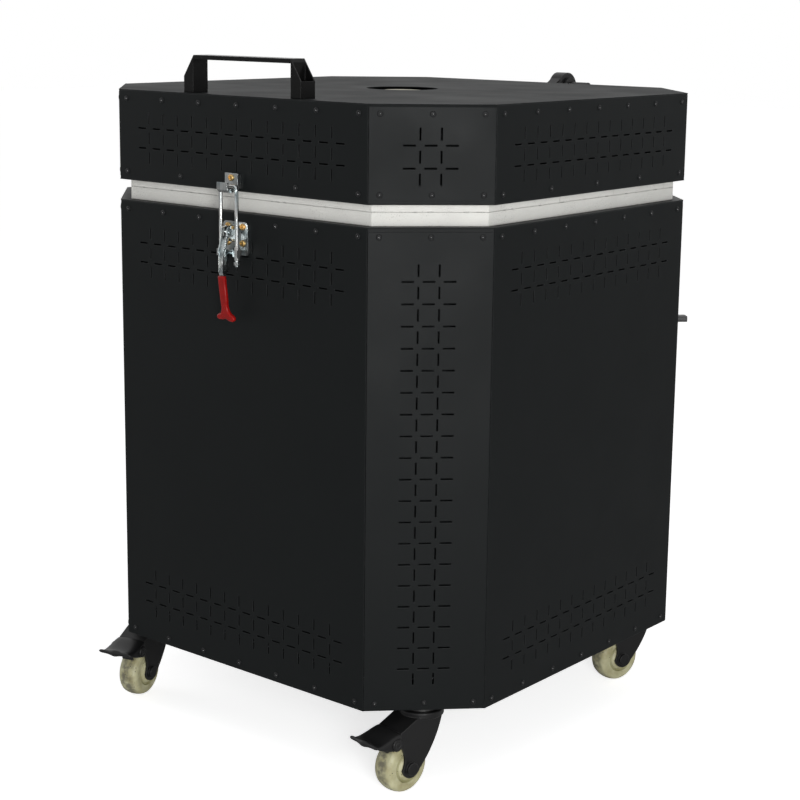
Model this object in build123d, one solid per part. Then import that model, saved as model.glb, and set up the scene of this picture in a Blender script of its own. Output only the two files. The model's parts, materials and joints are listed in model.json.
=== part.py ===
from build123d import *
import os
from math import cos, radians, sin, sqrt

os.makedirs("parts", exist_ok=True)

# All sizes are millimetres. The origin is on the floor under the kiln's axis.
# The latch side is the front (-Y), the hinge is at the back (+Y), +Z is up.

# Casing
HALF = 350.0                # half the width across the flats
CUT = 116.0                 # length cut off each corner of the square
SHEET = 1.2                 # casing sheet
CASTER_HEIGHT = 117.0       # floor to casing
BODY_HEIGHT = 655.0
GAP = 29.0                  # white band between body and lid
LID_HEIGHT = 128.0
BODY_LOW = CASTER_HEIGHT
BODY_TOP = BODY_LOW + BODY_HEIGHT
LID_LOW = BODY_TOP + GAP
LID_TOP = LID_LOW + LID_HEIGHT
CORNER_REACH = (2 * HALF - CUT) / sqrt(2)
WIDE = 2 * (HALF - CUT)
NARROW = CUT * sqrt(2)
PANEL_GAP = 0.6             # each panel stops this short of the corner
FLANGE = 25.0               # folded edges behind the panels

# Cooling slots
SLOT_LONG = 16.0
SLOT_THIN = 2.2
WIDE_COLUMNS = 13
WIDE_PITCH = 28.7
WIDE_RISE = 27.9
CORNER_PITCH = 27.4
CORNER_RISE = 29.2
CORNER_SHIFT = -2.0
BAND_INSET = 73.0           # edge of the body to the middle of a slot band
LID_BAND = LID_LOW + 61.0
CORNER_COLUMN = BODY_LOW + 322.0
CORNER_ROWS = 20

# Rivets
RIVET_HEAD = 4.0
RIVET_SHANK = 2.0
RIVET_INSET = 12.5
WIDE_RIVETS = 218.0
NARROW_RIVETS = 67.0

# Firebrick and chamber
PAN = 2.5
BEARER = 30.0
TRAY = 2.0
FLOOR_BRICK = 76.0
JACKET_INSET = 29.2
JACKET = 0.8
BRICK_INSET = JACKET_INSET + JACKET
RIM_INSET = 15.0
RIM_LOW = BODY_TOP
RIM_TOP = BODY_TOP + 18.0
LID_FACE = RIM_TOP + 0.3
CHAMBER_HALF = 215.0
CHAMBER_CUT = 90.0
COURSES = 5
GROOVE_HIGH = 13.0
GROOVE_DEEP = 16.0
GROOVES = 9                 # three elements for each phase
ELEMENT = 9.0
TRAY_LOW = BODY_LOW + PAN + BEARER
FLOOR_LOW = TRAY_LOW + TRAY
CHAMBER_LOW = FLOOR_LOW + FLOOR_BRICK
COURSE = (BODY_TOP - CHAMBER_LOW) / COURSES
LID_BRICK_TOP = LID_LOW + 90.0

# Vent in the lid
VENT_HOLE = 53.5
SLEEVE_OUT = 45.0
SLEEVE_IN = 30.0
SLEEVE_TOP = LID_TOP - 27.0
PLUG_HEAD = 35.0
PLUG_STEM = 28.5
PLUG_TOP = LID_TOP - 3.0

# Lid handle
HANDLE_HALF = 109.5
HANDLE_FRONT = -341.0
HANDLE_DEEP = 28.0
HANDLE_LEG = 18.0
HANDLE_TALL = 51.5
HANDLE_SHOULDER = 22.5
HANDLE_TOP_HALF = 90.5
HANDLE_BAR = 6.0
HANDLE_SHEET = 2.0

# Hinge
HINGE_Y = 420.0
HINGE_Z = LID_TOP - 11.0
HINGE_PIN = 10.0
HINGE_DRUM = 25.0
HINGE_DRUM_HALF = 12.0
HINGE_EAR_NEAR = 12.5
HINGE_EAR_FAR = 17.5
RUNNING = 0.05

# Latch, measured out from the front face and up from the floor
LATCH_PIVOT_OUT = 17.0
LATCH_PIVOT_Z = BODY_TOP - 25.0
LATCH_PIN_OUT = 15.0
LATCH_PIN_Z = LATCH_PIVOT_Z - 28.5
BOLT_ROD = 2.75
BOLT_HALF = 15.0
BOLT_TALL = 90.5
BOLT_LOW = 18.0
HOOK_HALF = 10.0
LATCH_PLATE_HALF = 23.0
LATCH_PLATE_LOW = BODY_TOP - 57.0
LATCH_PLATE_TOP = BODY_TOP - 12.0
LATCH_PLATE = 2.5
LEVER_HALF = 6.0
LEVER_SHEET = 1.6
EAR_FAR = LEVER_HALF - LEVER_SHEET - 0.3
EAR_NEAR = EAR_FAR - 1.6
STRAP_HALF = 4.5
GRIP_HALF = 6.5
GRIP_TOP_OUT = 29.0
GRIP_TOP_Z = LATCH_PIVOT_Z - 59.0
GRIP_LOW_OUT = 20.5
GRIP_LOW_Z = LATCH_PIVOT_Z - 121.5
SCREW_HEAD = 4.5
SCREW_SHANK = 2.5

# Casters
KINGPIN = 270.0
TRAIL = 38.0
WHEEL = 37.5
WHEEL_HALF = 16.0
FORK_NEAR = 19.5
FORK_FAR = 22.5
FORK_TOP = CASTER_HEIGHT - 12.0
FORK_SHEET = 3.0
AXLE = 6.0
PEDAL_X = 67.0
PEDAL_Z = 80.0
PEDAL_PIN = 3.0
PEDAL_BOSS = 8.5
PEDAL_HALF = 26.0
RACE = 25.0
RACE_HIGH = 5.0
CASTERS = {
    "front_right": (1, -1, -98.0, True),
    "front_left": (-1, -1, -75.0, True),
    "back_right": (1, 1, -107.0, False),
    "back_left": (-1, 1, -80.0, False),
}

# Control box on the left side
BOX_HALF = 95.0
BOX_LOW = 200.0
BOX_TOP = 740.0
BOX_DEEP = 90.0
BOX_SHEET = 1.5
WINDOW_HALF = 45.0
WINDOW_EDGE = 20.0          # from the box's top and bottom to the window
COVER = 2.0
CONTROLLER = 96.0
CONTROLLER_Z = 610.0
KEY_WIDE = 18.0
KEY_HIGH = 10.0
KEY_CLEAR = 0.5
KEY_OUT = 2.5
KEY_Z = CONTROLLER_Z - 32.0
KEY_STEP = 28.0
SWITCH_Z = 480.0
GLAND_OUT = 45.0
GLAND_SIDE = 55.0
GLAND_BORE = 7.0

# Thermocouple in the back right corner
PROBE_Z = LID_TOP - 350.0
PROBE = 4.0
PROBE_TIP = 235.0

SIDES = {"front": -90.0, "right": 0.0, "back": 90.0, "left": 180.0}
CORNERS = {"front_right": -45.0, "back_right": 45.0, "back_left": 135.0, "front_left": -135.0}


def save(node, shape):
    """Write one sub-part; a list of solids becomes one group."""
    if isinstance(shape, (list, tuple, ShapeList)):
        solids = [solid for piece in shape for solid in piece.solids()]
        shape = Compound(children=solids)
    export_step(shape, f"parts/{node}.step")


def octagon(half, cut):
    """Corner points of a square with its corners cut off, from the front right round."""
    flat = half - cut
    return [(flat, -half), (half, -flat), (half, flat), (flat, half),
            (-flat, half), (-half, flat), (-half, -flat), (-flat, -half)]


def casing(inset):
    """The casing's outline moved in by an even distance."""
    half = HALF - inset
    return octagon(half, 2 * half - sqrt(2) * (CORNER_REACH - inset))


CHAMBER = octagon(CHAMBER_HALF, CHAMBER_CUT)


def slab(points, low, high):
    return Pos(0, 0, low) * extrude(Polygon(*points, align=None), amount=high - low)


def ring(outer, inner, low, high):
    return slab(outer, low, high) - slab(inner, low - 1, high + 1)


def block(x, y, z):
    """A box from its low and high limits along each axis."""
    size = Box(x[1] - x[0], y[1] - y[0], z[1] - z[0], align=Align.MIN)
    return Pos(x[0], y[0], z[0]) * size


def rod(start, end, radius):
    """A round rod between two points."""
    axis = Vector(*end) - Vector(*start)
    plane = Plane(origin=start, z_dir=axis)
    return extrude(plane * Circle(radius), amount=axis.length)


def face_plane(angle, reach):
    """Drawing plane on a side of the casing: x to the viewer's right, y up."""
    turn = radians(angle)
    return Plane(origin=(reach * cos(turn), reach * sin(turn), 0),
                 x_dir=(-sin(turn), cos(turn), 0), z_dir=(cos(turn), sin(turn), 0))


def side_profile(points, half):
    """A profile drawn in Y and Z, thick by half each way along X."""
    face = Plane.YZ * Polygon(*points, align=None)
    return extrude(face, amount=half, both=True)


def slot_grid(centre_u, centre_v, columns, rows, pitch, rise):
    """Upright slots, with lying slots between their rows and columns."""
    grid = []
    for row in range(rows):
        v = centre_v + (row - (rows - 1) / 2) * rise
        for column in range(columns):
            u = centre_u + (column - (columns - 1) / 2) * pitch
            grid.append((u, v, SLOT_THIN, SLOT_LONG))
    for row in range(rows - 1):
        v = centre_v + (row - (rows - 2) / 2) * rise
        for column in range(columns + 1):
            u = centre_u + (column - columns / 2) * pitch
            grid.append((u, v, SLOT_LONG, SLOT_THIN))
    return grid


def rectangle_wire(u, v, wide, high):
    points = [(u - wide / 2, v - high / 2), (u + wide / 2, v - high / 2),
              (u + wide / 2, v + high / 2), (u - wide / 2, v + high / 2)]
    return Wire.make_polygon(points, close=True)


def pierced_sheet(plane, width, low, high, slots, holes):
    """A flat panel with its slots, as (u, v, wide, high), and round holes, as (u, v, radius)."""
    outline = rectangle_wire(0, (low + high) / 2, width, high - low)
    cuts = [rectangle_wire(*slot) for slot in slots]
    cuts += [Wire.make_circle(radius, Plane(origin=(u, v, 0))) for u, v, radius in holes]
    return plane * extrude(Face(outline, cuts), amount=SHEET, dir=(0, 0, -1))


def spread(reach, count):
    """Evenly spaced places from -reach to reach."""
    return [-reach + 2 * reach * step / (count - 1) for step in range(count)]


def rivet_rows(low_v, low_count, high_v, high_count):
    """A low and a high row of (u, v) rivet places for each side."""
    rows = {}
    for name in SIDES:
        rows[name] = [(u, low_v) for u in spread(WIDE_RIVETS, low_count)]
        rows[name] += [(u, high_v) for u in spread(WIDE_RIVETS, high_count)]
    for name in CORNERS:
        rows[name] = [(u, v) for v in (low_v, high_v) for u in spread(NARROW_RIVETS, 3)]
    return rows


BODY_RIVET_LOW = BODY_LOW + RIVET_INSET - 2.0
BODY_RIVET_HIGH = BODY_TOP - RIVET_INSET
LID_RIVET_LOW = LID_LOW + RIVET_INSET
LID_RIVET_HIGH = LID_TOP - RIVET_INSET
BODY_RIVETS = rivet_rows(BODY_RIVET_LOW, 7, BODY_RIVET_HIGH, 7)
LID_RIVETS = rivet_rows(LID_RIVET_LOW, 5, LID_RIVET_HIGH, 7)
# The latch base and the catch take the place of one rivet each.
BODY_RIVETS["front"].remove((0, BODY_RIVET_HIGH))
LID_RIVETS["front"].remove((0, LID_RIVET_LOW))
PLANES = {name: face_plane(angle, HALF) for name, angle in SIDES.items()}
PLANES |= {name: face_plane(angle, CORNER_REACH) for name, angle in CORNERS.items()}


def rivet():
    """A blind rivet: low dome with a hollow centre, shank through panel and flange."""
    dome = 1.6
    hollow = 1.2
    profile = Polyline((0, -2 * SHEET), (RIVET_SHANK, -2 * SHEET), (RIVET_SHANK, 0),
                       (RIVET_HEAD, 0), (RIVET_HEAD, 0.4))
    curve = ThreePointArc((RIVET_HEAD, 0.4), (0.72 * RIVET_HEAD, 1.2), (hollow, dome))
    centre = Polyline((hollow, dome), (hollow, 0.8), (0, 0.8), (0, -2 * SHEET))
    face = make_face(profile.edges() + curve.edges() + centre.edges())
    return revolve(Plane.XZ * face, Axis.Z)


def on_every_side(shape, places):
    """Copies of a shape at each side's own (u, v) places."""
    return [plane * Pos(u, v, 0) * shape for name, plane in PLANES.items() for u, v in places[name]]


def shank_holes(places, low, high):
    """Cylinders that clear the rivets between two heights through a folded flange."""
    drill = Pos(0, 0, -2 * SHEET) * Cylinder(RIVET_SHANK, 3 * SHEET)
    row = {name: [(u, v) for u, v in spots if low < v < high] for name, spots in places.items()}
    return on_every_side(drill, row)


def rivet_drills(places):
    return [(u, v, RIVET_SHANK) for u, v in places]


def hollow_flange(low, high):
    return ring(casing(SHEET), casing(2 * SHEET), low, high)


def base_frame():
    """Welded bottom: pan with an upright flange, bearers under the brick tray, stem pads."""
    pan = slab(casing(SHEET), BODY_LOW, BODY_LOW + PAN)
    pan += hollow_flange(BODY_LOW, BODY_LOW + FLANGE)
    for x in (-170, 0, 170):
        tube = block((x - 25, x + 25), (-300, 300), (BODY_LOW + PAN, TRAY_LOW))
        bore = block((x - 23, x + 23), (-301, 301), (BODY_LOW + PAN + 2, TRAY_LOW - 2))
        pan += tube - bore
    for name in CORNERS:
        pad = block((-45, 45), (BODY_LOW + PAN, BODY_LOW + PAN + 6), (-60, -4))
        pan += PLANES[name] * pad
    for side_x, side_y, _, _ in CASTERS.values():
        stem = Pos(side_x * KINGPIN, side_y * KINGPIN, BODY_LOW) * Cylinder(6, 40)
        pan -= stem
    pan -= shank_holes(BODY_RIVETS, BODY_LOW, BODY_LOW + FLANGE)
    return pan


def top_ledge():
    """Folded ring that closes the gap between casing and brick jacket."""
    ledge = ring(casing(0), casing(JACKET_INSET), BODY_TOP - SHEET, BODY_TOP)
    ledge += hollow_flange(BODY_TOP - FLANGE, BODY_TOP - SHEET)
    ledge -= shank_holes(BODY_RIVETS, BODY_TOP - FLANGE, BODY_TOP)
    return ledge


def body_side_panel(name):
    slots = slot_grid(0, BODY_LOW + BAND_INSET, WIDE_COLUMNS, 3, WIDE_PITCH, WIDE_RISE)
    slots += slot_grid(0, BODY_TOP - BAND_INSET, WIDE_COLUMNS, 3, WIDE_PITCH, WIDE_RISE)
    if name == "left":
        # The control box covers the middle of this side, over one tall window.
        slots = [slot for slot in slots if abs(slot[0]) > BOX_HALF + SLOT_LONG]
        slots.append((0, (BOX_LOW + BOX_TOP) / 2, 2 * WINDOW_HALF, BOX_TOP - BOX_LOW - 2 * WINDOW_EDGE))
    return pierced_sheet(PLANES[name], WIDE - 2 * PANEL_GAP, BODY_LOW, BODY_TOP - SHEET,
                         slots, rivet_drills(BODY_RIVETS[name]))


def body_corner_panel(name):
    slots = slot_grid(CORNER_SHIFT, CORNER_COLUMN, 2, CORNER_ROWS, CORNER_PITCH, CORNER_RISE)
    holes = rivet_drills(BODY_RIVETS[name])
    if name == "back_right":
        # The probe leaves between two rows of slots, so the slots around it are left out.
        slots = [slot for slot in slots if abs(slot[1] - PROBE_Z) > 30]
        holes.append((0, PROBE_Z, PROBE + 1))
    return pierced_sheet(PLANES[name], NARROW - 2 * PANEL_GAP, BODY_LOW + 1, BODY_TOP - 6, slots, holes)


def lid_panel(name):
    holes = rivet_drills(LID_RIVETS[name])
    if name in SIDES:
        slots = slot_grid(0, LID_BAND, WIDE_COLUMNS, 3, WIDE_PITCH, WIDE_RISE)
        return pierced_sheet(PLANES[name], WIDE - 2 * PANEL_GAP, LID_LOW + SHEET, LID_TOP - SHEET,
                             slots, holes)
    slots = slot_grid(CORNER_SHIFT, LID_BAND, 2, 3, CORNER_PITCH, CORNER_RISE)
    return pierced_sheet(PLANES[name], NARROW - 2 * PANEL_GAP, LID_LOW + 5, LID_TOP - 3.5, slots, holes)


def lid_top():
    """Top sheet with its folded edge and the vent hole."""
    top = slab(casing(0), LID_TOP - SHEET, LID_TOP)
    top += hollow_flange(LID_TOP - FLANGE, LID_TOP - SHEET)
    top -= Pos(0, 0, LID_TOP) * Cylinder(VENT_HOLE, 10)
    top -= shank_holes(LID_RIVETS, LID_TOP - FLANGE, LID_TOP)
    return top


def lid_frame():
    """Bottom ring that carries the lid's bricks."""
    frame = ring(casing(0), casing(BRICK_INSET + 1), LID_LOW, LID_LOW + SHEET)
    frame += hollow_flange(LID_LOW + SHEET, LID_LOW + FLANGE)
    frame -= shank_holes(LID_RIVETS, LID_LOW, LID_LOW + FLANGE)
    return frame


def lid_bricks():
    """Slabs of soft firebrick side by side, stepped where they hang through the frame."""
    upper = slab(casing(BRICK_INSET + 1), LID_LOW, LID_BRICK_TOP)
    lower = slab(casing(RIM_INSET), LID_FACE, LID_LOW)
    whole = upper + lower - Pos(0, 0, LID_LOW) * Cylinder(SLEEVE_OUT, 400)
    strips = 5
    reach = HALF - RIM_INSET
    width = 2 * reach / strips
    pieces = []
    for step in range(strips):
        start = -reach + step * width
        cutter = block((-reach, reach), (start, start + width), (LID_FACE - 1, LID_BRICK_TOP + 1))
        pieces.append(whole & cutter)
    return pieces


def vent_sleeve():
    sleeve = Cylinder(SLEEVE_OUT, SLEEVE_TOP - LID_FACE, align=(Align.CENTER, Align.CENTER, Align.MIN))
    sleeve -= Cylinder(SLEEVE_IN, 400)
    return Pos(0, 0, LID_FACE) * sleeve


def vent_plug():
    """Loose ceramic stopper: a flat head on the sleeve and a stem inside it."""
    seat = SLEEVE_TOP + 0.3
    head = Pos(0, 0, seat) * extrude(Circle(PLUG_HEAD), amount=PLUG_TOP - seat)
    head = fillet(head.edges().filter_by(GeomType.CIRCLE).sort_by(Axis.Z)[-1], 3)
    stem = Pos(0, 0, seat - 60) * extrude(Circle(PLUG_STEM), amount=60)
    return head + stem


def tray():
    return slab(casing(JACKET_INSET), TRAY_LOW, FLOOR_LOW)


def floor_bricks():
    whole = slab(casing(BRICK_INSET), FLOOR_LOW, CHAMBER_LOW)
    reach = HALF - BRICK_INSET
    strips = 5
    width = 2 * reach / strips
    return [whole & block((-reach, reach), (-reach + step * width, -reach + (step + 1) * width),
                          (FLOOR_LOW - 1, CHAMBER_LOW + 1)) for step in range(strips)]


def wall_segments(outer, inner, low, high):
    """Eight mitred blocks that make up one ring of brick."""
    blocks = []
    for index in range(8):
        after = (index + 1) % 8
        blocks.append(slab([outer[index], outer[after], inner[after], inner[index]], low, high))
    return blocks


def groove_heights():
    """Two grooves in each course, and one in the top course."""
    return [CHAMBER_LOW + COURSE * (0.4 + step / 2) for step in range(GROOVES)]


def terminal_places():
    """Heights and sides of the element tails in the left wall."""
    return [(28 if index % 2 else -28, height) for index, height in enumerate(groove_heights())]


def probe_line(start, end, radius):
    plane = PLANES["back_right"]
    return plane * Pos(0, PROBE_Z, start) * extrude(Circle(radius), amount=end - start)


def wall_bricks():
    outer = casing(BRICK_INSET)
    groove_back = octagon(CHAMBER_HALF + GROOVE_DEEP,
                          2 * (CHAMBER_HALF + GROOVE_DEEP)
                          - sqrt(2) * ((2 * CHAMBER_HALF - CHAMBER_CUT) / sqrt(2) + GROOVE_DEEP))
    cuts = [slab(groove_back, height - GROOVE_HIGH / 2, height + GROOVE_HIGH / 2)
            for height in groove_heights()]
    drills = [rod((-400, -y, z), (-200, -y, z), 2.5) for y, z in terminal_places()]
    drills.append(probe_line(-200, 0, PROBE))
    bricks = []
    for course in range(COURSES):
        low = CHAMBER_LOW + course * COURSE
        for brick in wall_segments(outer, CHAMBER, low, low + COURSE):
            bricks.append(brick - cuts[2 * course:2 * course + 2] - drills)
    return bricks


def heating_elements():
    """The coils' envelope: one rounded tube round the chamber in each groove."""
    middle = CHAMBER_HALF + GROOVE_DEEP / 2
    corner_middle = (2 * CHAMBER_HALF - CHAMBER_CUT) / sqrt(2) + GROOVE_DEEP / 2
    half = ELEMENT / 2

    def loop(offset):
        return octagon(middle + offset, 2 * (middle + offset) - sqrt(2) * (corner_middle + offset))

    loops = []
    for height in groove_heights():
        tube = ring(loop(half), loop(-half), height - half, height + half)
        loops.append(chamfer(tube.edges().group_by(Axis.Z)[0] + tube.edges().group_by(Axis.Z)[-1], 2))
    return loops


def element_terminals():
    """Tail of each element through the left wall, with its ceramic bush in the casing gap."""
    pieces = []
    start = -(CHAMBER_HALF + GROOVE_DEEP / 2 + ELEMENT / 2)
    for y, z in terminal_places():
        pieces.append(rod((-HALF - 25, -y, z), (start, -y, z), 2.5))
        bush = rod((-HALF - 8, -y, z), (-HALF + JACKET_INSET, -y, z), 7)
        pieces.append(bush - rod((-HALF - 9, -y, z), (-HALF + 40, -y, z), 2.5))
    return pieces


def inner_jacket():
    jacket = ring(casing(JACKET_INSET), casing(BRICK_INSET), FLOOR_LOW, BODY_TOP)
    jacket -= [rod((-400, -y, z), (-300, -y, z), 4) for y, z in terminal_places()]
    jacket -= probe_line(-60, -10, PROBE + 1)
    return jacket


def thermocouple():
    """Ceramic sheath from the chamber out to its head."""
    return probe_line(PROBE_TIP - CORNER_REACH, 3, PROBE)


def thermocouple_head():
    """Small flat connector body outside the corner panel."""
    plane = PLANES["back_right"]
    foot = Pos(0, PROBE_Z, 0) * extrude(Circle(11), amount=3)
    foot -= Pos(0, PROBE_Z, 0) * extrude(Circle(PROBE), amount=3)
    shell = Pos(0, PROBE_Z, 3) * extrude(RectangleRounded(20, 9, 3), amount=30)
    return plane * (foot + shell)


def hinge_bracket():
    """Plate on the back of the body with two ears that reach up behind the lid."""
    ear = [(HALF + 4, BODY_TOP - 110), (HALF + 4, BODY_TOP - 22), (HINGE_Y - 20, HINGE_Z - 14),
           (HINGE_Y - 16, HINGE_Z + 4), (HINGE_Y, HINGE_Z), (HINGE_Y + 16, HINGE_Z + 4),
           (HINGE_Y + 17, HINGE_Z - 14), (HINGE_Y - 10, BODY_TOP - 80)]
    boss = rod((-HINGE_EAR_FAR, HINGE_Y, HINGE_Z), (HINGE_EAR_FAR, HINGE_Y, HINGE_Z), 17)
    bracket = side_profile(ear, HINGE_EAR_FAR) + boss
    bracket -= block((-HINGE_EAR_NEAR, HINGE_EAR_NEAR), (HALF + 5, HALF + 120), (600, HINGE_Z + 40))
    bracket += block((-60, 60), (HALF, HALF + 5), (BODY_TOP - 125, BODY_TOP - 20))
    bracket -= rod((-40, HINGE_Y, HINGE_Z), (40, HINGE_Y, HINGE_Z), HINGE_PIN)
    for x, z in bracket_screws():
        bracket -= rod((x, HALF - 1, z), (x, HALF + 6, z), SCREW_SHANK)
    return bracket


def bracket_screws():
    return [(x, z) for x in (-45, 45) for z in (BODY_TOP - 110, BODY_TOP - 35)]


def arm_screws():
    return [(x, z) for x in (-45, 45) for z in (LID_LOW + 45, LID_TOP - 30)]


def hinge_pin():
    """Plain pin held in the ears; it runs on past the right ear."""
    pin = rod((-22, HINGE_Y, HINGE_Z), (52, HINGE_Y, HINGE_Z), HINGE_PIN)
    return chamfer(pin.edges().filter_by(GeomType.CIRCLE), 0.8)


def hinge_arm():
    """Plate on the back of the lid, with a web out to the round knuckle."""
    web = [(HALF + 3, LID_LOW + 45), (HALF + 3, LID_TOP - 22), (HINGE_Y - 12, HINGE_Z + 20),
           (HINGE_Y + 5, HINGE_Z), (HINGE_Y - 8, HINGE_Z - 20)]
    knuckle = rod((-HINGE_DRUM_HALF, HINGE_Y, HINGE_Z), (HINGE_DRUM_HALF, HINGE_Y, HINGE_Z), HINGE_DRUM)
    knuckle = chamfer(knuckle.edges().filter_by(GeomType.CIRCLE), 1.5)
    arm = side_profile(web, 9) + knuckle
    arm += block((-60, 60), (HALF, HALF + 5), (LID_LOW + 30, LID_TOP - 18))
    arm -= rod((-40, HINGE_Y, HINGE_Z), (40, HINGE_Y, HINGE_Z), HINGE_PIN + RUNNING)
    for x, z in arm_screws():
        arm -= rod((x, HALF - 1, z), (x, HALF + 6, z), SCREW_SHANK)
    return arm


def lid_handle():
    """Bridge handle: a flat bar over two open box legs with slanted shoulders."""
    low = LID_TOP
    back = HANDLE_FRONT + HANDLE_DEEP
    inner = HANDLE_HALF - HANDLE_LEG
    outline = [(-HANDLE_HALF, low), (-HANDLE_HALF, low + HANDLE_SHOULDER),
               (-HANDLE_TOP_HALF, low + HANDLE_TALL), (HANDLE_TOP_HALF, low + HANDLE_TALL),
               (HANDLE_HALF, low + HANDLE_SHOULDER), (HANDLE_HALF, low), (inner, low),
               (inner, low + HANDLE_TALL - HANDLE_BAR), (-inner, low + HANDLE_TALL - HANDLE_BAR),
               (-inner, low)]
    plate = Plane(origin=(0, back, 0), x_dir=(1, 0, 0), z_dir=(0, -1, 0)) * Polygon(*outline, align=None)
    handle = extrude(plate, amount=HANDLE_DEEP, dir=(0, -1, 0))
    for side in (-1, 1):
        near = inner + HANDLE_SHEET
        wall = HANDLE_HALF - HANDLE_SHEET
        y = (HANDLE_FRONT + HANDLE_SHEET, back - HANDLE_SHEET)
        lower = block((min(side * near, side * wall), max(side * near, side * wall)), y,
                      (low + 3, low + HANDLE_SHOULDER))
        upper = block((min(side * near, side * 130), max(side * near, side * 130)), y,
                      (low + HANDLE_SHOULDER, low + HANDLE_TALL - HANDLE_SHEET))
        handle -= lower + upper
        handle -= rod((side * (inner + 9), HANDLE_FRONT + HANDLE_DEEP / 2, low - 1),
                      (side * (inner + 9), HANDLE_FRONT + HANDLE_DEEP / 2, low + 4), SCREW_SHANK)
    return handle


def screw(plane, length):
    """Pan-head screw with a cross recess, its head standing on the plane."""
    head = extrude(Circle(SCREW_HEAD), amount=2.4)
    head = fillet(head.edges().filter_by(GeomType.CIRCLE).sort_by(Axis.Z)[-1], 1.4)
    cross = Box(5, 1.1, 2.4) + Box(1.1, 5, 2.4)
    shank = extrude(Circle(SCREW_SHANK), amount=-length)
    return plane * (head - Pos(0, 0, 2.4) * cross + shank)


def latch_plane(out):
    return Plane(origin=(0, -HALF - out, 0), x_dir=(1, 0, 0), z_dir=(0, -1, 0))


def latch_screw_places():
    return [(x, z) for x in (-13.5, 13.5) for z in (LATCH_PIVOT_Z - 16, LATCH_PIVOT_Z + 6.5)]


def cabinet_screws():
    """Eight alike: four in the latch plate and four in the hinge bracket."""
    group = [screw(latch_plane(LATCH_PLATE) * Pos(x, z, 0), LATCH_PLATE) for x, z in latch_screw_places()]
    back = Plane(origin=(0, HALF + 5, 0), x_dir=(-1, 0, 0), z_dir=(0, 1, 0))
    return group + [screw(back * Pos(-x, z, 0), 5) for x, z in bracket_screws()]


def lid_screws():
    """Seven alike: one in the catch, one in each handle leg, four in the hinge arm."""
    group = [screw(latch_plane(10) * Pos(0, LID_LOW + 19, 0), 10)]
    for side in (-1, 1):
        spot = (side * (HANDLE_HALF - HANDLE_LEG + 9), HANDLE_FRONT + HANDLE_DEEP / 2, LID_TOP + 3)
        group.append(screw(Plane(origin=spot), 3))
    back = Plane(origin=(0, HALF + 5, 0), x_dir=(-1, 0, 0), z_dir=(0, 1, 0))
    return group + [screw(back * Pos(-x, z, 0), 5) for x, z in arm_screws()]


def out_profile(points, half):
    """A profile given as (out from the front face, height), thick by half each way."""
    return side_profile([(-HALF - out, z) for out, z in points], half)


def latch_catch():
    """Hook on the lid: a plate that stands off the panel and turns up into a lip."""
    low = LID_LOW
    plate = out_profile([(7.5, low + 4), (10, low + 4), (10, low + 25), (7.5, low + 25)], 12)
    hook = out_profile([(7.5, low), (23.6, low), (27.6, low + 4), (27.6, low + 13.8), (25, low + 13.8),
                        (25, low + 4.8), (7.5, low + 4.8)], HOOK_HALF)
    spacer = out_profile([(0, low + 4), (7.5, low + 4), (7.5, low + 23), (0, low + 23)], 8)
    drill = rod((0, -HALF + 1, low + 19), (0, -HALF - 12, low + 19), SCREW_SHANK)
    return plate + hook + spacer - drill


def latch_base():
    """Screwed plate with two upstanding ears for the lever's pivot."""
    plate = latch_plane(0) * Pos(0, (LATCH_PLATE_LOW + LATCH_PLATE_TOP) / 2, 0)
    base = plate * extrude(RectangleRounded(2 * LATCH_PLATE_HALF, LATCH_PLATE_TOP - LATCH_PLATE_LOW, 5),
                           amount=LATCH_PLATE)
    pivot = LATCH_PIVOT_Z
    ears = out_profile([(2, pivot - 14), (2, pivot + 8), (12, pivot + 8), (21, pivot + 5), (23, pivot),
                        (21, pivot - 5), (10, pivot - 14)], EAR_FAR)
    ears -= out_profile([(LATCH_PLATE, pivot - 20), (LATCH_PLATE, pivot + 20), (40, pivot + 20),
                         (40, pivot - 20)], EAR_NEAR)
    base += ears
    base -= latch_rod(LATCH_PIVOT_OUT, LATCH_PIVOT_Z, 3, 30)
    for x, z in latch_screw_places():
        base -= rod((x, -HALF + 1, z), (x, -HALF - 4, z), SCREW_SHANK)
    return base


def latch_rod(out, z, radius, half):
    return rod((-half, -HALF - out, z), (half, -HALF - out, z), radius)


def latch_pivot():
    """Rivet through both ears, fixed in them, with a head outside each lever wall."""
    half = LEVER_HALF + 1.8
    rivet = latch_rod(LATCH_PIVOT_OUT, LATCH_PIVOT_Z, 3, half)
    head = latch_rod(LATCH_PIVOT_OUT, LATCH_PIVOT_Z, 4.6, half)
    return rivet + head - (latch_rod(LATCH_PIVOT_OUT, LATCH_PIVOT_Z, 6, LEVER_HALF + 0.3) - rivet)


def grip_strap():
    """Flat strap from the lever's foot down through the grip."""
    return out_profile([(30, LATCH_PIVOT_Z - 50), (32, LATCH_PIVOT_Z - 50), (GRIP_TOP_OUT + 1, GRIP_TOP_Z),
                        (GRIP_LOW_OUT + 1, GRIP_LOW_Z + 4), (GRIP_LOW_OUT - 1, GRIP_LOW_Z + 4),
                        (GRIP_TOP_OUT - 1, GRIP_TOP_Z)], STRAP_HALF)


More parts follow.
